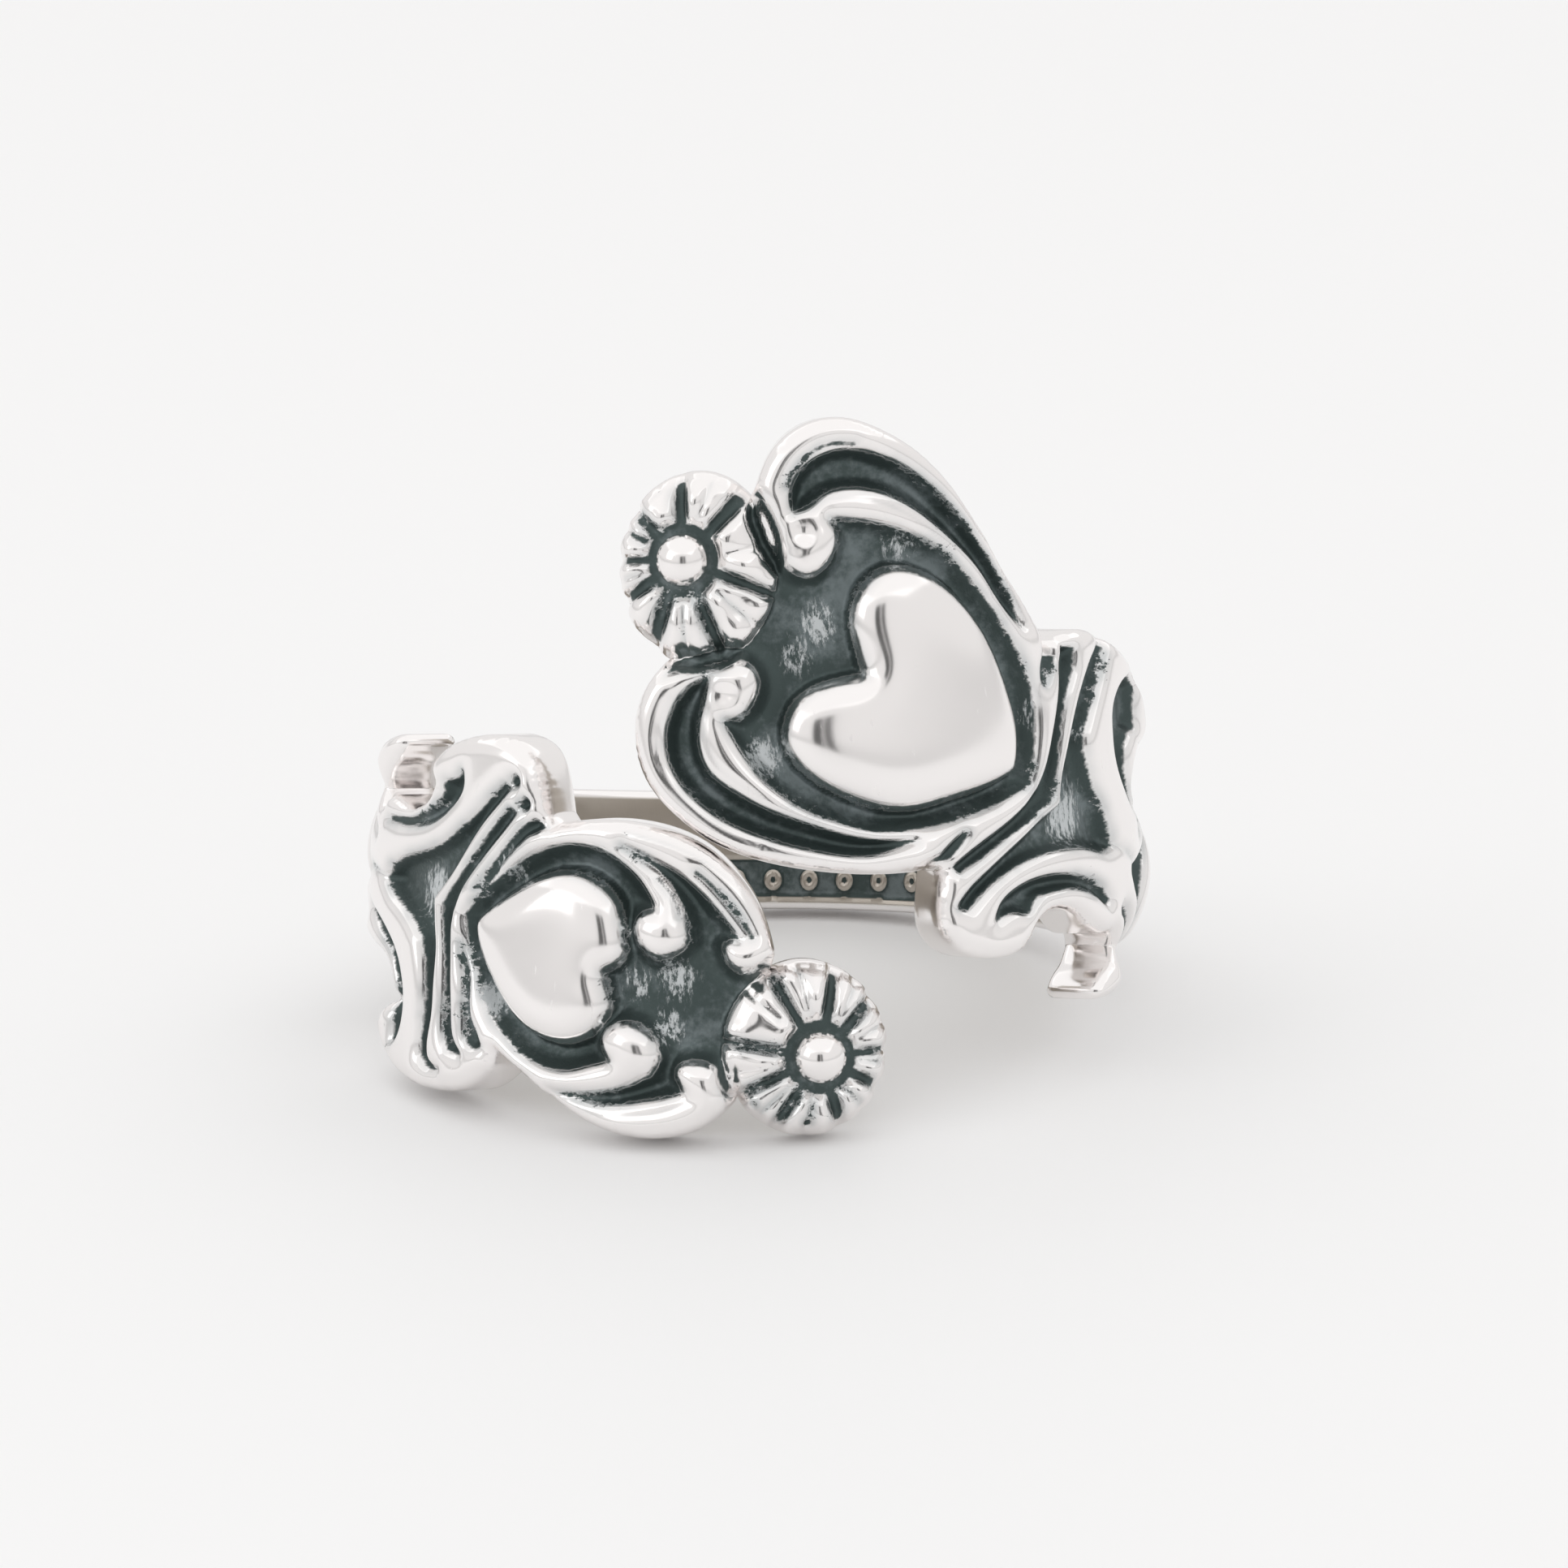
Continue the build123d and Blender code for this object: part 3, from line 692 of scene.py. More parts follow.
# The flat strip: columns along the arc, closer where there is a pattern, and rows up its height
fine_step = 0.065
plain_step = 0.22
pattern_margin = 0.5
strip_starts = -5.0
strip_ends = ring_round + 4.6
strip_low = -7.4
strip_high = 13.0
pattern_ends = shank_first + pattern_margin
pattern_starts = shank_last - pattern_margin
columns = np.concatenate(
    [
        np.arange(strip_starts, pattern_ends, fine_step),
        np.arange(pattern_ends, pattern_starts, plain_step),
        np.arange(pattern_starts, strip_ends, fine_step),
    ]
)
rows = np.arange(strip_low, strip_high, fine_step)
U, Z = np.meshgrid(columns, rows)


def window(low, high):
    """The part of the strip between two corners."""
    across_columns = slice(*np.searchsorted(columns, (low[0], high[0])))
    up_rows = slice(*np.searchsorted(rows, (low[1], high[1])))
    return up_rows, across_columns


def distance_to(points, reach=pattern_reach, closed=True):
    """How far each place of the strip is from a line, up to reach, and negative inside a closed one."""
    squared = np.full(U.shape, float(reach) ** 2)
    inside = np.zeros(U.shape, bool)
    following = np.roll(points, -1, axis=0) if closed else points[1:]
    for start, finish in zip(points, following):
        step = finish - start
        squared_length = step @ step
        if squared_length < 1e-12:
            continue
        part = window(np.minimum(start, finish) - reach, np.maximum(start, finish) + reach)
        u, z = U[part] - start[0], Z[part] - start[1]
        share = np.clip((u * step[0] + z * step[1]) / squared_length, 0, 1)
        apart = (u - share * step[0]) ** 2 + (z - share * step[1]) ** 2
        squared[part] = np.minimum(squared[part], apart)
        if closed and step[1]:
            beside = slice(*np.searchsorted(rows, sorted((start[1], finish[1]))))
            crossing = start[0] + (rows[beside] - start[1]) * step[0] / step[1]
            inside[beside] ^= columns[None, :] < crossing[:, None]
    return np.where(inside, -1, 1) * np.sqrt(squared)


def profile_share(distance, profile):
    away, share = zip(*profile)
    return np.interp(distance, away, share)


def smooth_step(value, low, high):
    share = np.clip((value - low) / (high - low), 0, 1)
    return share * share * (3 - 2 * share)


def blurred(field):
    """A field with each place mixed with its neighbours, so that edges are as soft as a casting's."""
    for axis in (0, 1):
        field = (np.roll(field, 1, axis) + 2 * field + np.roll(field, -1, axis)) / 4
    return field


edge = distance_to(edge_loop, edge_reach)


def flower_place(end):
    """A flower's window: each place's offset from its bead along and out, and distance to its rim."""
    bead = np.array(end.bead)
    part = window(bead - flower_reach, bead + flower_reach)
    aside, up = end.side * (U[part] - bead[0]), end.side * (Z[part] - bead[1])
    squash = np.hypot((aside - flower_aside) / end.flower_long, (up + flower_inset) / end.flower_wide)
    rim = (1 - squash) * (end.flower_long + end.flower_wide) / 2
    along = aside * math.cos(end.slope) - up * math.sin(end.slope)
    out = aside * math.sin(end.slope) + up * math.cos(end.slope)
    return part, along, out, rim


for end in ends:
    part, _, _, rim = flower_place(end)
    edge[part] = np.minimum(edge[part], -rim)

# Depths of the pattern, as shares of the relief
far_groove_depth = 0.8
far_kite_depth = 0.9
kite_depth = 0.85
chevron_depth = 0.75
wedge_depth = 0.6
lobe_groove_depth = 0.75

# How wide the dark line round a flower's rim is
crease_dark = 0.14

# Relief of the ends: the share of the full height that is left, and how dark and worn the metal is
level = np.ones(U.shape)
patina = np.zeros(U.shape)
worn = np.zeros(U.shape)


def carve(distance, profile, depth=1.0, dark=1.0):
    """Sink a part of the pattern and darken it."""
    np.multiply(level, 1 - depth * (1 - profile_share(distance, profile)), out=level)
    np.maximum(patina, dark * profile_share(distance, stain_profile), out=patina)


def away_from(end, spot):
    """Distances from a round thing's middle, within its window."""
    middle = np.array(end_spot(end, spot.along, spot.out))
    part = window(middle - spot_reach * spot.radius, middle + spot_reach * spot.radius)
    return part, np.hypot(U[part] - middle[0], Z[part] - middle[1])


def carve_round(end, spot):
    """Sink a small round pit."""
    part, away = away_from(end, spot)
    share = profile_share(away - spot.radius, line_profile)
    level[part] = level[part] * (1 - spot.strength * (1 - share))
    patina[part] = np.maximum(patina[part], profile_share(away - spot.radius, stain_profile))


for end in ends:
    for side in (1, -1):
        groove = [run_of(far_lobe_spot, end, run, side) for run in far_groove]
        carve(distance_to(np.concatenate(groove)), line_profile, far_groove_depth)
    kite = [run_of(far_lobe_spot, end, run) for run in far_kite]
    kite += backwards([run_of(far_lobe_spot, end, run, -1) for run in far_kite])
    carve(distance_to(np.concatenate(kite)), groove_profile, far_kite_depth)

for end, ground, kite, chevron, wedges, lobe_grooves in (
    (broad, broad_ground, broad_kite, broad_chevron, broad_wedges, broad_lobe_grooves),
    (narrow, narrow_ground, narrow_kite, narrow_chevron, narrow_wedges, narrow_lobe_grooves),
):
    carve(distance_to(outline_of(end, ground)), ground_profile)
    carve(distance_to(outline_of(end, kite)), groove_profile, kite_depth)
    carve(distance_to(outline_of(end, chevron)), line_profile, chevron_depth)
    for wedge in wedges:
        carve(distance_to(outline_of(end, wedge)), line_profile, wedge_depth)
    for groove in lobe_grooves:
        carve(distance_to(outline_of(end, groove)), groove_profile, lobe_groove_depth)
for groove in broad_grooves:
    carve(distance_to(outline_of(broad, groove)), groove_profile)

for end, lines in ((broad, broad_lines), (narrow, narrow_lines)):
    for line in lines:
        distance = distance_to(run_of(end_spot, end, line.points), closed=False) - line.half
        carve(distance, line_profile, line.depth, line.dark)
for pit in narrow_pits:
    carve_round(narrow, pit)

for end in ends:
    part, _, _, rim = flower_place(end)
    level[part] = np.minimum(level[part], profile_share(-rim, crease_profile))
    stain = profile_share(-rim - crease_dark, stain_profile) * (rim < 0)
    patina[part] = np.maximum(patina[part], stain)

for end, spots in ((broad, broad_worn), (narrow, narrow_worn)):
    for spot in spots:
        part, away = away_from(end, spot)
        worn[part] = np.maximum(worn[part], spot.strength * np.exp(-((away / spot.radius) ** 2)))

level = blurred(level)

# Height over the bore: the ends are as high as their ridges, the back has a crown that thins out
lean = math.tan(math.radians(far_lean))
broad_reach = broad.waist_arc + np.maximum(Z, 0) * lean
narrow_reach = narrow.waist_arc + np.minimum(Z, 0) * lean
past_waist = np.minimum(U - broad_reach, narrow_reach - U)
crown_ball = (crown_half**2 + (full_height - far_wall) ** 2) / (2 * (full_height - far_wall))
aside = np.minimum(np.abs(Z), crown_half)
crown_from = -0.9
crown_to = 0.7
crown = full_height - crown_ball + np.sqrt(crown_ball**2 - aside**2)
top = full_height + (crown - full_height) * smooth_step(past_waist, crown_from, crown_to)
base = np.minimum(recess_wall, top - far_relief)
height = base + (top - base) * level

for end, swellings in ((broad, broad_swellings), (narrow, narrow_swellings)):
    for spot in swellings:
        part, away = away_from(end, spot)
        height[part] += spot.strength * np.exp(-((away / spot.radius) ** 2)) * level[part] ** 2

# Eyes of the broad curls: shallow dishes
for eye in broad_eyes:
    part, away = away_from(broad, eye)
    height[part] -= eye.strength * smooth_step(away, eye.radius, 0.0)

# Hearts: puffed up from their outlines, steep at the edge and smooth over the top
heart_stain_inset = 0.05
least_away = 0.04
for end, runs in ((broad, broad_heart), (narrow, narrow_heart)):
    outline = outline_of(end, runs)
    distance = distance_to(outline)
    part = window(outline.min(0) - pattern_reach, outline.max(0) + pattern_reach)
    inside = distance[part] < 0
    u, z = U[part][inside], Z[part][inside]
    depth_sum = np.zeros(u.shape)
    for (u0, z0), (u1, z1) in zip(outline, np.roll(outline, -1, axis=0)):
        middle = (u0 + u1) / 2, (z0 + z1) / 2
        away = np.hypot(u - middle[0], z - middle[1])
        depth_sum += math.hypot(u1 - u0, z1 - z0) / (2 * np.maximum(away, least_away) ** 3)
    puff = depth_sum**-0.5
    dome = np.sqrt(1 - (1 - puff / puff.max()) ** 3)
    patch = height[part]
    patch[inside] = np.maximum(patch[inside], recess_wall + (ridge_rise + heart_rise) * dome)
    height[part] = patch
    stain = patina[part]
    stain[inside] = profile_share(-distance[part][inside] - heart_stain_inset, stain_profile)
    patina[part] = stain

# Flowers: petals cut by slits, on a dome that falls away from the bead
channel_wide = 0.26
moat_radius = 0.98
slit_length = 2.4
slit_fall = 0.42
rim_fall = 0.30
facet_rise = 0.09
rim_stain_inset = 0.02
for end, slits in ((broad, broad_slits), (narrow, narrow_slits)):
    part, along, out, rim = flower_place(end)
    if end is broad:
        disc = rim > 0
        to_curls = np.full(rim.shape, pattern_reach)
        for curl, behind in zip(broad_curls, broad_curl_backs):
            to_curls = np.minimum(to_curls, distance_to(outline_of(broad, [curl, behind]))[part])
        rim = np.minimum(rim, to_curls - channel_wide)
        channel = disc & (rim <= 0) & (to_curls > 0)
        height[part] = np.where(channel, recess_wall, height[part])
        patina[part] = np.where(channel, 1.0, patina[part])
    away = np.hypot(along, out)
    ball_drop = flower_ball - np.sqrt(np.maximum(flower_ball**2 - away**2, 0.1))
    flat_away = end.side * (U[part] - end.bead[0])
    dome = np.hypot(ridge_radius - ball_drop, flat_away) - bore_radius
    share = profile_share(away, moat_profile)
    stain = profile_share(away - moat_radius, stain_profile)
    for slit in slits:
        angle = math.radians(slit.angle)
        reach = along * math.cos(angle) + out * math.sin(angle)
        beside = np.abs(out * math.cos(angle) - along * math.sin(angle))
        half = slit.inner + (slit.outer - slit.inner) * np.clip(reach / slit_length, 0, 1)
        gap = np.maximum(beside - half, slit.start - reach)
        share = share * (1 - slit.depth * (1 - profile_share(gap, slit_profile)))
        stain = np.maximum(stain, smooth_step(slit.depth, 0.25, 0.7) * profile_share(gap, stain_profile))
    facets = np.sin(along * 3.7 + out * 1.7 + end.side) * np.sin(out * 3.3 - along * 1.5 + 2 * end.side)
    petals = dome - slit_fall * (1 - share) - rim_fall * (1 - profile_share(rim, rim_profile))
    petals = petals + facet_rise * facets * share
    stain = np.maximum(stain, profile_share(rim - rim_stain_inset, stain_profile))
    height[part] = np.where(rim > 0, petals, height[part])
    patina[part] = np.where(rim > 0, stain, patina[part])
for pit in narrow_flower_pits:
    part, away = away_from(narrow, pit)
    height[part] -= pit.strength * smooth_step(away, pit.radius * 1.5, pit.radius * 0.5)
    patina[part] = np.maximum(patina[part], profile_share(away - pit.radius, stain_profile))

height = blurred(height)

# Rounded edges: the top falls away over the last stretch before the outline
edge_round = 0.55
edge_start = 0.16
inner_round = 0.25
clean_from = 0.35
clean_to = 0.10


def edge_drop(inset):
    """How far the rounded edge has fallen at a distance in from the outline."""
    return edge_round * (1 - np.sqrt(1 - np.clip(1 - inset / edge_round, 0, 1) ** 2))


bevel = np.ones(U.shape)
for end, spots in ((broad, broad_bevels), (narrow, narrow_bevels)):
    for spot in spots:
        part, away = away_from(end, spot)
        bevel[part] += spot.strength * np.exp(-((away / spot.radius) ** 2))
height = height - edge_drop(-edge) * bevel
patina = patina * smooth_step(-edge, clean_to, clean_from)

# Skin over the strip's outside: grid cells, cut where they cross the line where the edge starts
snap_reach = 0.3 * fine_step
rim_field = edge + edge_start
slope_z, slope_u = np.gradient(edge, rows, columns)
near = np.abs(rim_field) < snap_reach
grid_u = np.where(near, U - rim_field * slope_u, U)
grid_z = np.where(near, Z - rim_field * slope_z, Z)
rim_field = np.where(near, 0, rim_field)


def sampled(field, index, following, share):
    flat = field.ravel()
    return flat[index] * (1 - share) + flat[following] * share


flat_rim = rim_field.ravel()
row_count, column_count = U.shape
corner = (np.arange(row_count - 1)[:, None] * column_count + np.arange(column_count - 1)).ravel()
cells = np.stack([corner, corner + 1, corner + 1 + column_count, corner + column_count], 1)
within = flat_rim[cells] <= 0
whole = cells[within.all(1)]
partly = cells[within.any(1) & ~within.all(1)]

used = {}
skin = []
polygons = []


def grid_corner(index):
    if index not in used:
        used[index] = len(skin)
        skin.append((index, index, 0.0))
    return used[index]


def cut_corner(first, second):
    key = (min(first, second), max(first, second))
    if key not in used:
        share = flat_rim[key[0]] / (flat_rim[key[0]] - flat_rim[key[1]])
        used[key] = len(skin)
        skin.append((key[0], key[1], share))
    return used[key]


for cell in whole.tolist():
    polygons.append([grid_corner(index) for index in cell])
for cell in partly.tolist():
    polygon = []
    for index, following in zip(cell, cell[1:] + cell[:1]):
        if flat_rim[index] <= 0:
            polygon.append(grid_corner(index))
        if (flat_rim[index] < 0 < flat_rim[following]) or (flat_rim[following] < 0 < flat_rim[index]):
            polygon.append(cut_corner(index, following))
    if len(polygon) > 2:
        polygons.append(polygon)

skin = np.array(skin)
first, second, share = skin[:, 0].astype(int), skin[:, 1].astype(int), skin[:, 2]
skin_u = sampled(grid_u, first, second, share)
skin_z = sampled(grid_z, first, second, share)
skin_height = sampled(height, first, second, share)
skin_patina = sampled(patina, first, second, share)
skin_worn = sampled(worn, first, second, share)
skin_bevel = sampled(bevel, first, second, share)
out_u = sampled(slope_u, first, second, share)
out_z = sampled(slope_z, first, second, share)

# The skin's open edge, each stretch in the direction of its polygon
stretches = np.array([pair for p in polygons for pair in zip(p, p[1:] + p[:1])])
codes = stretches.min(1) * len(skin) + stretches.max(1)
_, place, counts = np.unique(codes, return_index=True, return_counts=True)
open_stretches = stretches[place[counts == 1]]
rim_points = np.unique(open_stretches)
rim_order = {point: i for i, point in enumerate(rim_points.tolist())}

# Rings of points from the skin's edge, over the rounded edge, down the wall and round into the hole
steepness = np.hypot(out_u[rim_points], out_z[rim_points])
away_u = out_u[rim_points] / steepness
away_z = out_z[rim_points] / steepness
wall_patina = 0.4
rim_bevel = skin_bevel[rim_points]
edge_top = skin_height[rim_points] + edge_drop(edge_start) * rim_bevel
wall_top = edge_top - edge_drop(0.0) * rim_bevel
insets = [edge_start * share for share in (0.62, 0.34, 0.14, 0.03)]
rings = [(inset, edge_top - edge_drop(inset) * rim_bevel) for inset in insets]
rings += [(0.0, wall_top + (inner_round - wall_top) * share) for share in (0.30, 0.72)]
for turn in np.radians((0, 22, 45, 68, 90)):
    inset = inner_round * (1 - math.cos(turn))
    rings.append((inset, np.full(len(rim_points), inner_round * (1 - math.sin(turn)))))

points_u, points_z, points_h = [skin_u], [skin_z], [skin_height]
points_p, points_w = [skin_patina], [skin_worn]
previous = rim_points
count = len(skin)
for inset, lift in rings:
    move = edge_start - inset
    points_u.append(skin_u[rim_points] + away_u * move)
    points_z.append(skin_z[rim_points] + away_z * move)
    points_h.append(lift)
    points_p.append(skin_patina[rim_points] * wall_patina)
    points_w.append(np.zeros(len(rim_points)))
    current = np.arange(count, count + len(rim_points))
    for a, b in open_stretches.tolist():
        i, j = rim_order[a], rim_order[b]
        polygons.append([previous[j], previous[i], current[i], current[j]])
    previous = current
    count += len(rim_points)

# Inside of the band: a plain bore, with a sunk panel behind the finger that holds a row of pellets
panel_long = 8.4
panel_low = 0.85
panel_half = 0.64
panel_depth = 0.16
panel_slope = 0.12
pellet_pitch = 1.25
pellet_radius = 0.38
pellet_slope = 0.14
dimple_radius = 0.15
dimple_slope = 0.08
inside_step = 0.35
panel_step = 0.085

inside_u = np.arange(strip_starts, ring_round - strip_starts, inside_step)
inside_z = np.arange(strip_low, strip_high, inside_step)
coarse = np.stack(np.meshgrid(inside_u, inside_z), -1).reshape(-1, 2)
in_panel = np.abs(coarse[:, 0] - shank_middle) < panel_long + 0.5
in_panel &= np.abs(coarse[:, 1] + panel_low) < panel_half + 0.25
dense_u = np.arange(shank_middle - panel_long - 0.4, shank_middle + panel_long + 0.4, panel_step)
dense_z = np.arange(-panel_half - 0.14, panel_half + 0.15, panel_step) - panel_low
dense = np.stack(np.meshgrid(dense_u, dense_z), -1).reshape(-1, 2)
spread = np.concatenate([coarse[~in_panel], dense])
column = np.clip(np.searchsorted(columns, spread[:, 0]), 0, column_count - 1)
row = np.clip(np.searchsorted(rows, spread[:, 1]), 0, row_count - 1)
spread = spread[edge[row, column] < -inner_round - 0.2]
rim_u = skin_u[rim_points] + away_u * (edge_start - inner_round)
rim_z = skin_z[rim_points] + away_z * (edge_start - inner_round)
fill_points = [Vector(pair) for pair in zip(rim_u.tolist(), rim_z.tolist())]
fill_points += [Vector(pair) for pair in spread.tolist()]
fill_edges = [(rim_order[a], rim_order[b]) for a, b in open_stretches.tolist()]
inside_only = 1
closest = 1e-6
filled, _, triangles, origins, _, _ = delaunay_2d_cdt(fill_points, fill_edges, [], inside_only, closest)
new_index = []
extra_u, extra_z = [], []
for point, origin in zip(filled, origins):
    known = [i for i in origin if i < len(rim_points)]
    if known:
        new_index.append(int(previous[known[0]]))
    else:
        new_index.append(count + len(extra_u))
        extra_u.append(point[0])
        extra_z.append(point[1])
for triangle in triangles:
    polygons.append([new_index[i] for i in reversed(triangle)])
extra_u, extra_z = np.array(extra_u), np.array(extra_z)
off_u = np.abs(extra_u - shank_middle) - panel_long
off_z = np.abs(extra_z + panel_low) - panel_half
panel = np.clip(-np.maximum(off_u, off_z) / panel_slope, 0, 1)
phase = (extra_u - shank_middle + pellet_pitch / 2) % pellet_pitch - pellet_pitch / 2
off_pellet = np.hypot(phase, extra_z + panel_low)
pellet = np.clip((pellet_radius - off_pellet) / pellet_slope, 0, 1)
dimple = np.clip((dimple_radius - off_pellet) / dimple_slope, 0, 1)
relief = panel * (1 - pellet * (1 - 0.7 * dimple))
points_u.append(extra_u)
points_z.append(extra_z)
points_h.append(panel_depth * relief)
points_p.append(relief)
points_w.append(np.zeros(len(extra_u)))

points_u, points_z, points_h, points_p, points_w = [
    np.concatenate(lists) for lists in (points_u, points_z, points_h, points_p, points_w)
]
bore_mark = np.zeros(len(points_u))
bore_mark[count - len(rim_points) :] = 1

# The ring lies where the CAD's finger hole is: its axis is the hole's, turned without a twist
hole = frame["record"]["mounts"][0]
hole_axis = Vector(hole["axis"]).normalized()
tilt = Vector((0, 0, 1)).rotation_difference(hole_axis).to_matrix().to_4x4()
lying = Matrix.Translation(Vector(hole["pos_m"])) @ tilt


def ring_points(arc, height_up, radius):
    """Places of the lying ring, from arcs round it, heights along its axis and distances from it."""
    angle = arc / ridge_radius
    flat = np.stack([radius * np.sin(angle), -radius * np.cos(angle), height_up], -1) * MM
    turn = np.array(lying)
    return flat @ turn[:3, :3].T + turn[:3, 3]


places = ring_points(points_u, points_z, bore_radius + points_h)


def casting_piece(name, faces):
    """A piece of the casting's skin, with marks for the dark, the worn and the inner metal."""
    numbers = np.unique(np.concatenate(faces))
    renumbered = dict(zip(numbers.tolist(), range(len(numbers))))
    mesh = bpy.data.meshes.new(name)
    mesh.from_pydata(places[numbers].tolist(), [], [[renumbered[i] for i in face] for face in faces])
    for field, values in (("patina", points_p), ("worn", points_w), ("bore", bore_mark)):
        layer = mesh.attributes.new(field, "FLOAT", "POINT")
        layer.data.foreach_set("value", values[numbers].astype(np.float32))
    mesh.polygons.foreach_set("use_smooth", [True] * len(mesh.polygons))
    piece = bpy.data.objects.new(name, mesh)
    bpy.context.scene.collection.objects.link(piece)
    return piece


whole_polygons = [[int(i) for i in polygon] for polygon in polygons]
on_broad = [points_u[polygon[0]] < shank_middle for polygon in whole_polygons]
pieces = [
    casting_piece("broad_end", [p for p, first_half in zip(whole_polygons, on_broad) if first_half]),
    casting_piece("narrow_end", [p for p, first_half in zip(whole_polygons, on_broad) if not first_half]),
]

# Beads: a smooth ball in the middle of each flower
for end, name in ((broad, "broad_bead"), (narrow, "narrow_bead")):
    bpy.ops.mesh.primitive_uv_sphere_add(segments=64, ring_count=40, radius=bead_radius * MM)
    bead = bpy.context.object
    bead.name = name
    arc, up = end.bead
    bead.data.transform(Matrix.Translation(ring_points(arc, up, ridge_radius + bead_rise - bead_radius)))
    bead.data.polygons.foreach_set("use_smooth", [True] * len(bead.data.polygons))
    pieces.append(bead)


class Value:
    """A node socket that can be used in sums."""

    def __init__(self, nodes, socket):
        self.nodes = nodes
        self.socket = socket

    def maths(self, operation, *values):
        return self.nodes.node("ShaderNodeMath", {"operation": operation}, dict(enumerate(values)))

    def __add__(self, other):
        return self.maths("ADD", self, other)

    def __sub__(self, other):
        return self.maths("SUBTRACT", self, other)

    def __mul__(self, other):
        return self.maths("MULTIPLY", self, other)

    def __truediv__(self, other):
        return self.maths("DIVIDE", self, other)

    def __rsub__(self, other):
        return self.maths("SUBTRACT", other, self)

    def __rtruediv__(self, other):
        return self.maths("DIVIDE", other, self)

    __radd__ = __add__
    __rmul__ = __mul__

    def size(self):
        return self.maths("ABSOLUTE", self)

    def between(self, low, high):
        """0 below low, 1 above high, smooth in between."""
        settings = {"interpolation_type": "SMOOTHSTEP"}
        values = {"Value": self, "From Min": low, "From Max": high}
        return self.nodes.node("ShaderNodeMapRange", settings, values)


class Nodes:
    """A node tree whose nodes come from one method."""

    def __init__(self, tree):
        self.tree = tree
        self.tree.nodes.clear()

    def node(self, kind, settings=None, values=None, output=0):
        node = self.tree.nodes.new(kind)
        for name, setting in (settings or {}).items():
            setattr(node, name, setting)
        for name, value in (values or {}).items():
            if isinstance(value, Value):
                self.tree.links.new(value.socket, node.inputs[name])
            else:
                node.inputs[name].default_value = value
        return Value(self, node.outputs[output]) if len(node.outputs) else None

    def mixed(self, share, first, second):
        """A colour between two colours."""
        return self.node("ShaderNodeMix", {"data_type": "RGBA"}, {0: share, 6: first, 7: second}, output=2)

    def noise(self, scale, detail=3.0, roughness=0.5, stretch=(1, 1, 1)):
        place = self.node("ShaderNodeTexCoord", output=3)
        stretched = self.node("ShaderNodeVectorMath", {"operation": "MULTIPLY"}, {0: place, 1: stretch})
        values = {"Vector": stretched, "Scale": scale, "Detail": detail, "Roughness": roughness}
        return self.node("ShaderNodeTexNoise", {}, values)


silver_light = (0.93, 0.905, 0.895, 1)
# Grey of a thin oxide film along the recess edges, which also paints the shade on the ridges' sides
film_and_shade_grey = (0.50, 0.53, 0.535, 1)
# Darker brown copy of the silver for the bore: painted shade inside the band
bore_shaded_silver = (0.50, 0.46, 0.41, 1)
oxide_dark = (0.064, 0.087, 0.085, 1)
oxide_blue = (0.185, 0.220, 0.226, 1)
oxide_pale = (0.62, 0.65, 0.66, 1)


def make_silver(name):
    """Polished silver, oxidised in recesses, worn in places, brushed inside; oxide film and painted shade
    grey the recess edges, painted shade darkens the bore.
    """
    material = bpy.data.materials.new(name)
    material.use_nodes = True
    nodes = Nodes(material.node_tree)
    patina = nodes.node("ShaderNodeAttribute", {"attribute_name": "patina"}, output=2)
    worn = nodes.node("ShaderNodeAttribute", {"attribute_name": "worn"}, output=2)
    bore = nodes.node("ShaderNodeAttribute", {"attribute_name": "bore"}, output=2)
    cloud = nodes.noise(600, 2)
    blotch = nodes.noise(4200, 3, 0.6)
    chipped = nodes.noise(3600, 5, 0.75, stretch=(1, 1, 1.5))
    brushed = nodes.noise(3000, 5, 0.75, stretch=(2.5, 2.5, 0.7))
    grain = nodes.noise(9000, 3, 0.6)
    scratch = nodes.noise(500, 4, 0.6, stretch=(12, 12, 0.8))
    ragged = cloud.between(0.48, 0.62)
    noisy = (blotch - 0.5) * 0.25 + (chipped - 0.5) * (ragged * 1.8 + 0.2)
    dark = (patina + noisy * (1.0 - bore)).between(0.36, 0.54)
    deep = (patina + (cloud - 0.5) * 1.5 + (blotch - 0.5) * 0.8).between(0.70, 1.25)
    rubbed = ((brushed - 0.5) * 4.0 + worn * 1.0).between(0.35, 0.95) * worn.between(0.05, 0.50)
    oxide = nodes.mixed(deep, oxide_dark, oxide_blue)
    oxide = nodes.mixed(rubbed, oxide, oxide_pale)
    # Thin oxide film and painted shade: the metal turns grey along the recess edges
    film_and_painted_shade = patina.between(0.0, 0.30) * (0.25 + cloud.between(0.40, 0.65) * 0.5) * (1.0 - bore)
    # The bore takes the darker copy of the silver, painted shade inside the band
    metal = nodes.mixed(bore, nodes.mixed(film_and_painted_shade, silver_light, film_and_shade_grey), bore_shaded_silver)
    colour = nodes.mixed(dark, metal, oxide)
    marks = scratch.between(0.66, 0.72)
    roughness = 0.13 + cloud * 0.07 + marks * 0.12 + dark * 0.30 + bore * 0.20
    relief = grain * (dark * 0.7 + 0.03) + blotch * (dark * 0.8 + 0.02)
    relief = relief + cloud * 0.30 + scratch * (0.06 + bore * 0.5)
    bump = nodes.node("ShaderNodeBump", {}, {"Strength": 0.40, "Distance": 0.00003, "Height": relief})
    values = {"Base Color": colour, "Metallic": 1.0 - dark * 0.35, "Roughness": roughness, "Normal": bump}
    shader = nodes.node("ShaderNodeBsdfPrincipled", {}, values)
    nodes.node("ShaderNodeOutputMaterial", {}, {"Surface": shader})
    return material


silver = make_silver("silver")
for piece in pieces:
    piece.data.materials.append(silver)
    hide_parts("ring")
    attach(piece, "root")


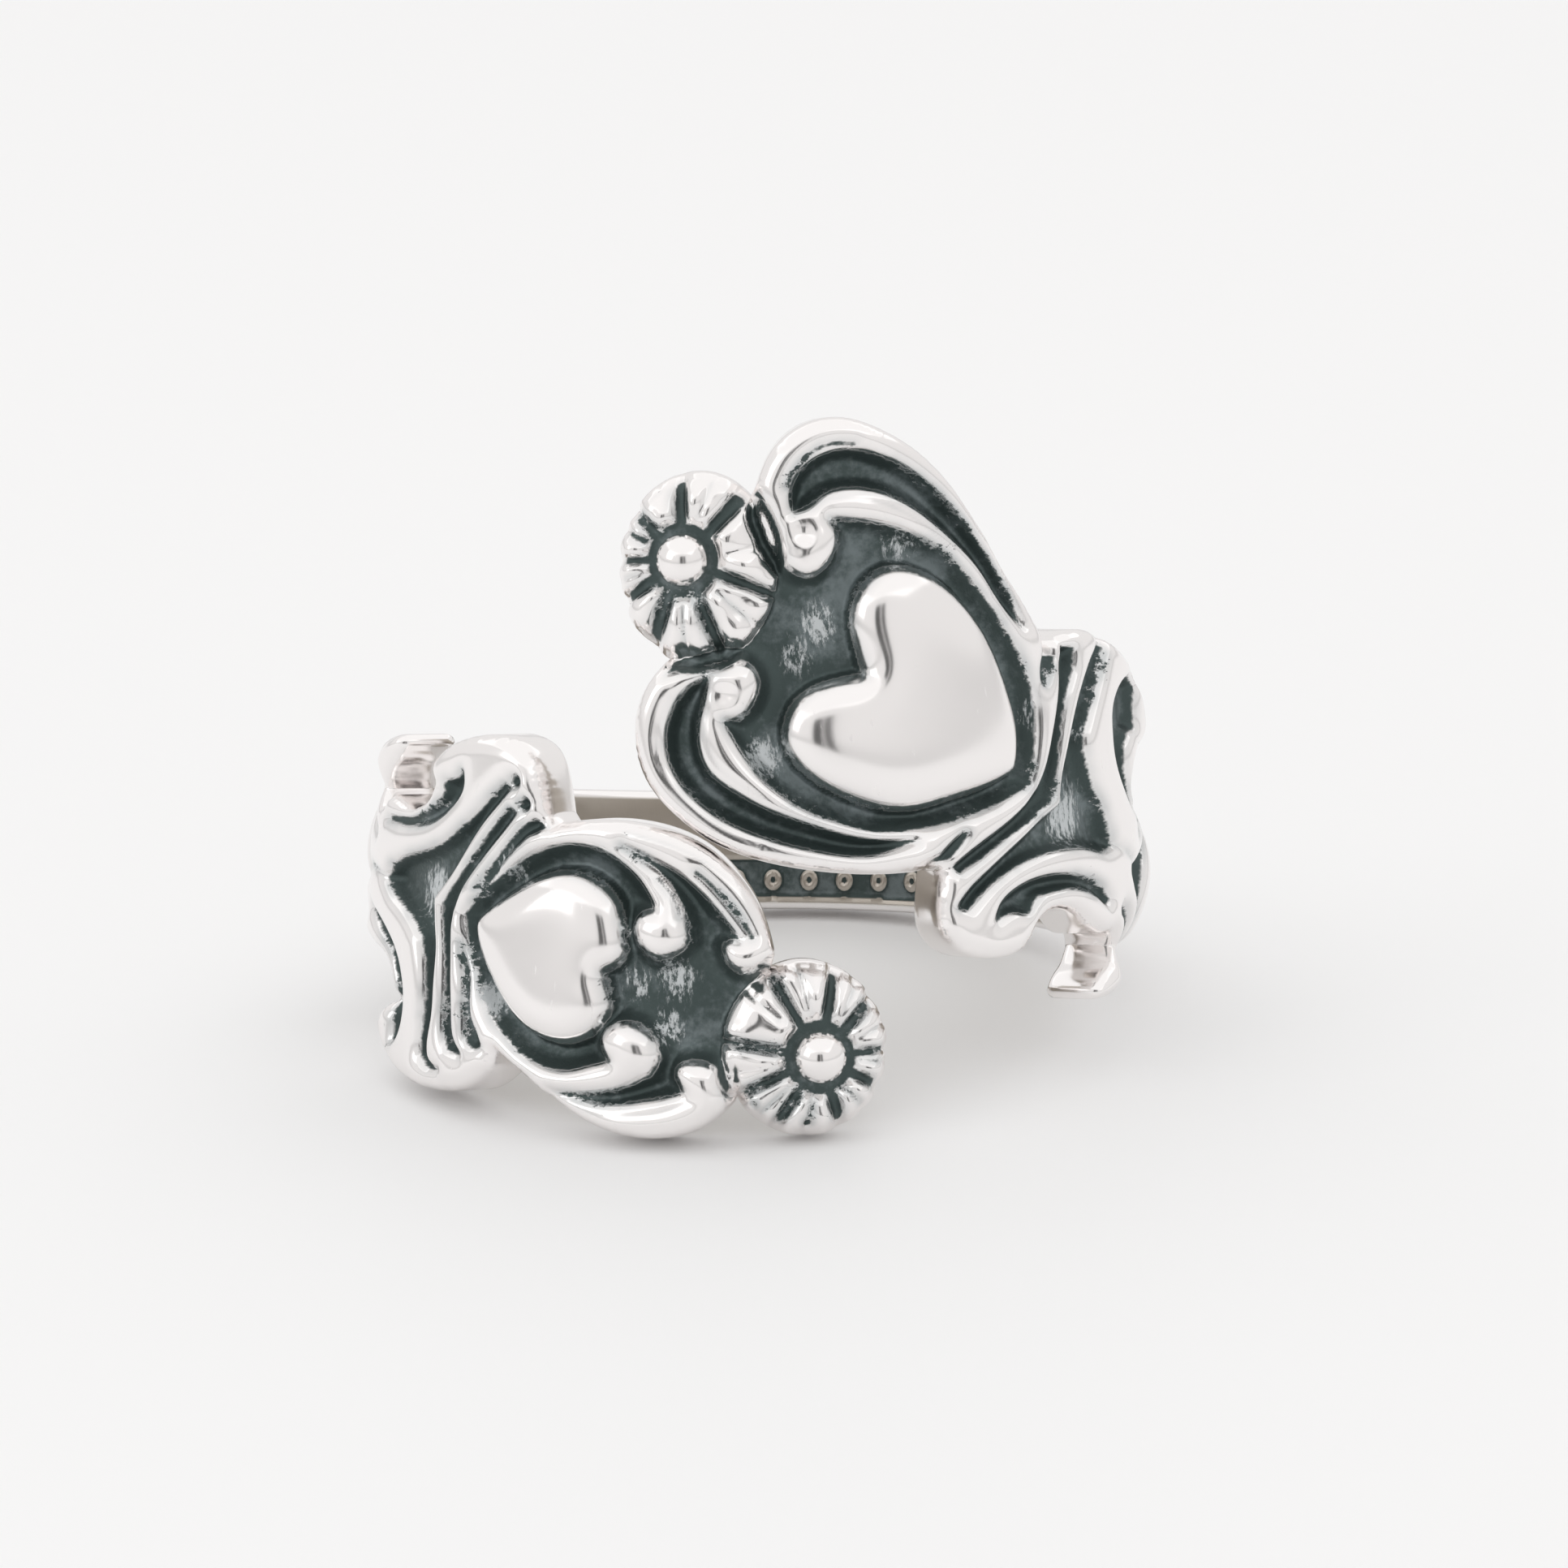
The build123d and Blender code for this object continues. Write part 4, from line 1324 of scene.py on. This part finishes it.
def make_plain(name, colour, roughness):
    material = bpy.data.materials.new(name)
    material.use_nodes = True
    nodes = Nodes(material.node_tree)
    shader = nodes.node("ShaderNodeBsdfPrincipled", {}, {"Base Color": colour, "Roughness": roughness})
    nodes.node("ShaderNodeOutputMaterial", {}, {"Surface": shader})
    return material


# Pale floor
bpy.ops.mesh.primitive_plane_add(size=3.0)
floor = bpy.context.object
floor.name = "floor"
floor.data.materials.append(make_plain("floor_white", (0.95, 0.95, 0.95, 1), 0.6))

# Camera: the photo looks at the front from a little above the finger hole's cross-section
camera_far = 0.220
camera_rise = math.radians(2.2)
photo_scale = 44.3
photo_middle = 966
hole_pixel = (933, 1012)
looked_at_height = 1.2
sensor = 36.0
centre = Vector((0, 0, looked_at_height * MM))
back = Vector((0, -math.cos(camera_rise), math.sin(camera_rise)))
right = Vector((1, 0, 0))
up = back.cross(right)
off_middle = right * (photo_middle - hole_pixel[0]) + up * (hole_pixel[1] - photo_middle)
aim = centre + off_middle * (MM / photo_scale)
position = centre + back * camera_far
back = (position - aim).normalized()
right = up.cross(back).normalized()
up = back.cross(right)
camera_data = bpy.data.cameras.new("camera")
camera_data.sensor_width = sensor
camera_data.lens = photo_scale * camera_far / MM / (2 * photo_middle) * sensor
camera_data.clip_start = 0.01
camera = bpy.data.objects.new("camera", camera_data)
bpy.context.scene.collection.objects.link(camera)
turn = Matrix((right, up, back)).transposed().to_4x4()
camera.matrix_world = lying @ Matrix.Translation(position) @ turn
bpy.context.scene.camera = camera

# Lights: a wide soft one overhead and a small one at the left, both turned to the ring
lit_place = (0, 0, 0.01)


def soft_light(name, place, size, power):
    """A square area light that faces the ring."""
    data = bpy.data.lights.new(name, "AREA")
    data.shape = "SQUARE"
    data.size = size
    data.energy = power
    light = bpy.data.objects.new(name, data)
    bpy.context.scene.collection.objects.link(light)
    light.location = place
    light.rotation_euler = (Vector(lit_place) - Vector(place)).to_track_quat("-Z", "Y").to_euler()


soft_light("top_light", (0.0, 0.0, 0.70), 1.6, 3.4)
soft_light("left_light", (-0.5, -0.25, 0.30), 0.30, 0.22)

# Room: pale all round, darker overhead, low down and where the camera stands, with a paler pane there
world = bpy.data.worlds.new("room")
world.use_nodes = True
room = Nodes(world.node_tree)
direction = room.node("ShaderNodeTexCoord", output=0)
sideways, forward, upward = [
    room.node("ShaderNodeSeparateXYZ", {}, {0: direction}, output=i) for i in range(3)
]
ahead = (0.0 - forward).between(0.2, 0.5)
onward = 0.01 - forward
across = sideways / onward
stand_wide = 1.0 - across.size().between(0.19, 0.22)
stand_tall = 1.0 - (upward / onward - 0.30).size().between(0.27, 0.31)
pane = 1.0 - (across - 0.05).size().between(0.03, 0.05)
stand = ahead * stand_wide * stand_tall * (1.0 - pane * 0.6)
skirting = 1.0 - (upward - 0.05).size().between(0.03, 0.10)
overhead = upward.between(0.58, 0.74)
brightness = (0.86 - overhead * 0.26 - skirting * 0.16) * (1.0 - stand * 0.93)
background = room.node("ShaderNodeBackground", {}, {"Color": (1.0, 0.99, 0.985, 1), "Strength": brightness})
room.node("ShaderNodeOutputWorld", {}, {"Surface": background})
bpy.context.scene.world = world
bpy.context.scene.view_settings.view_transform = "Standard"
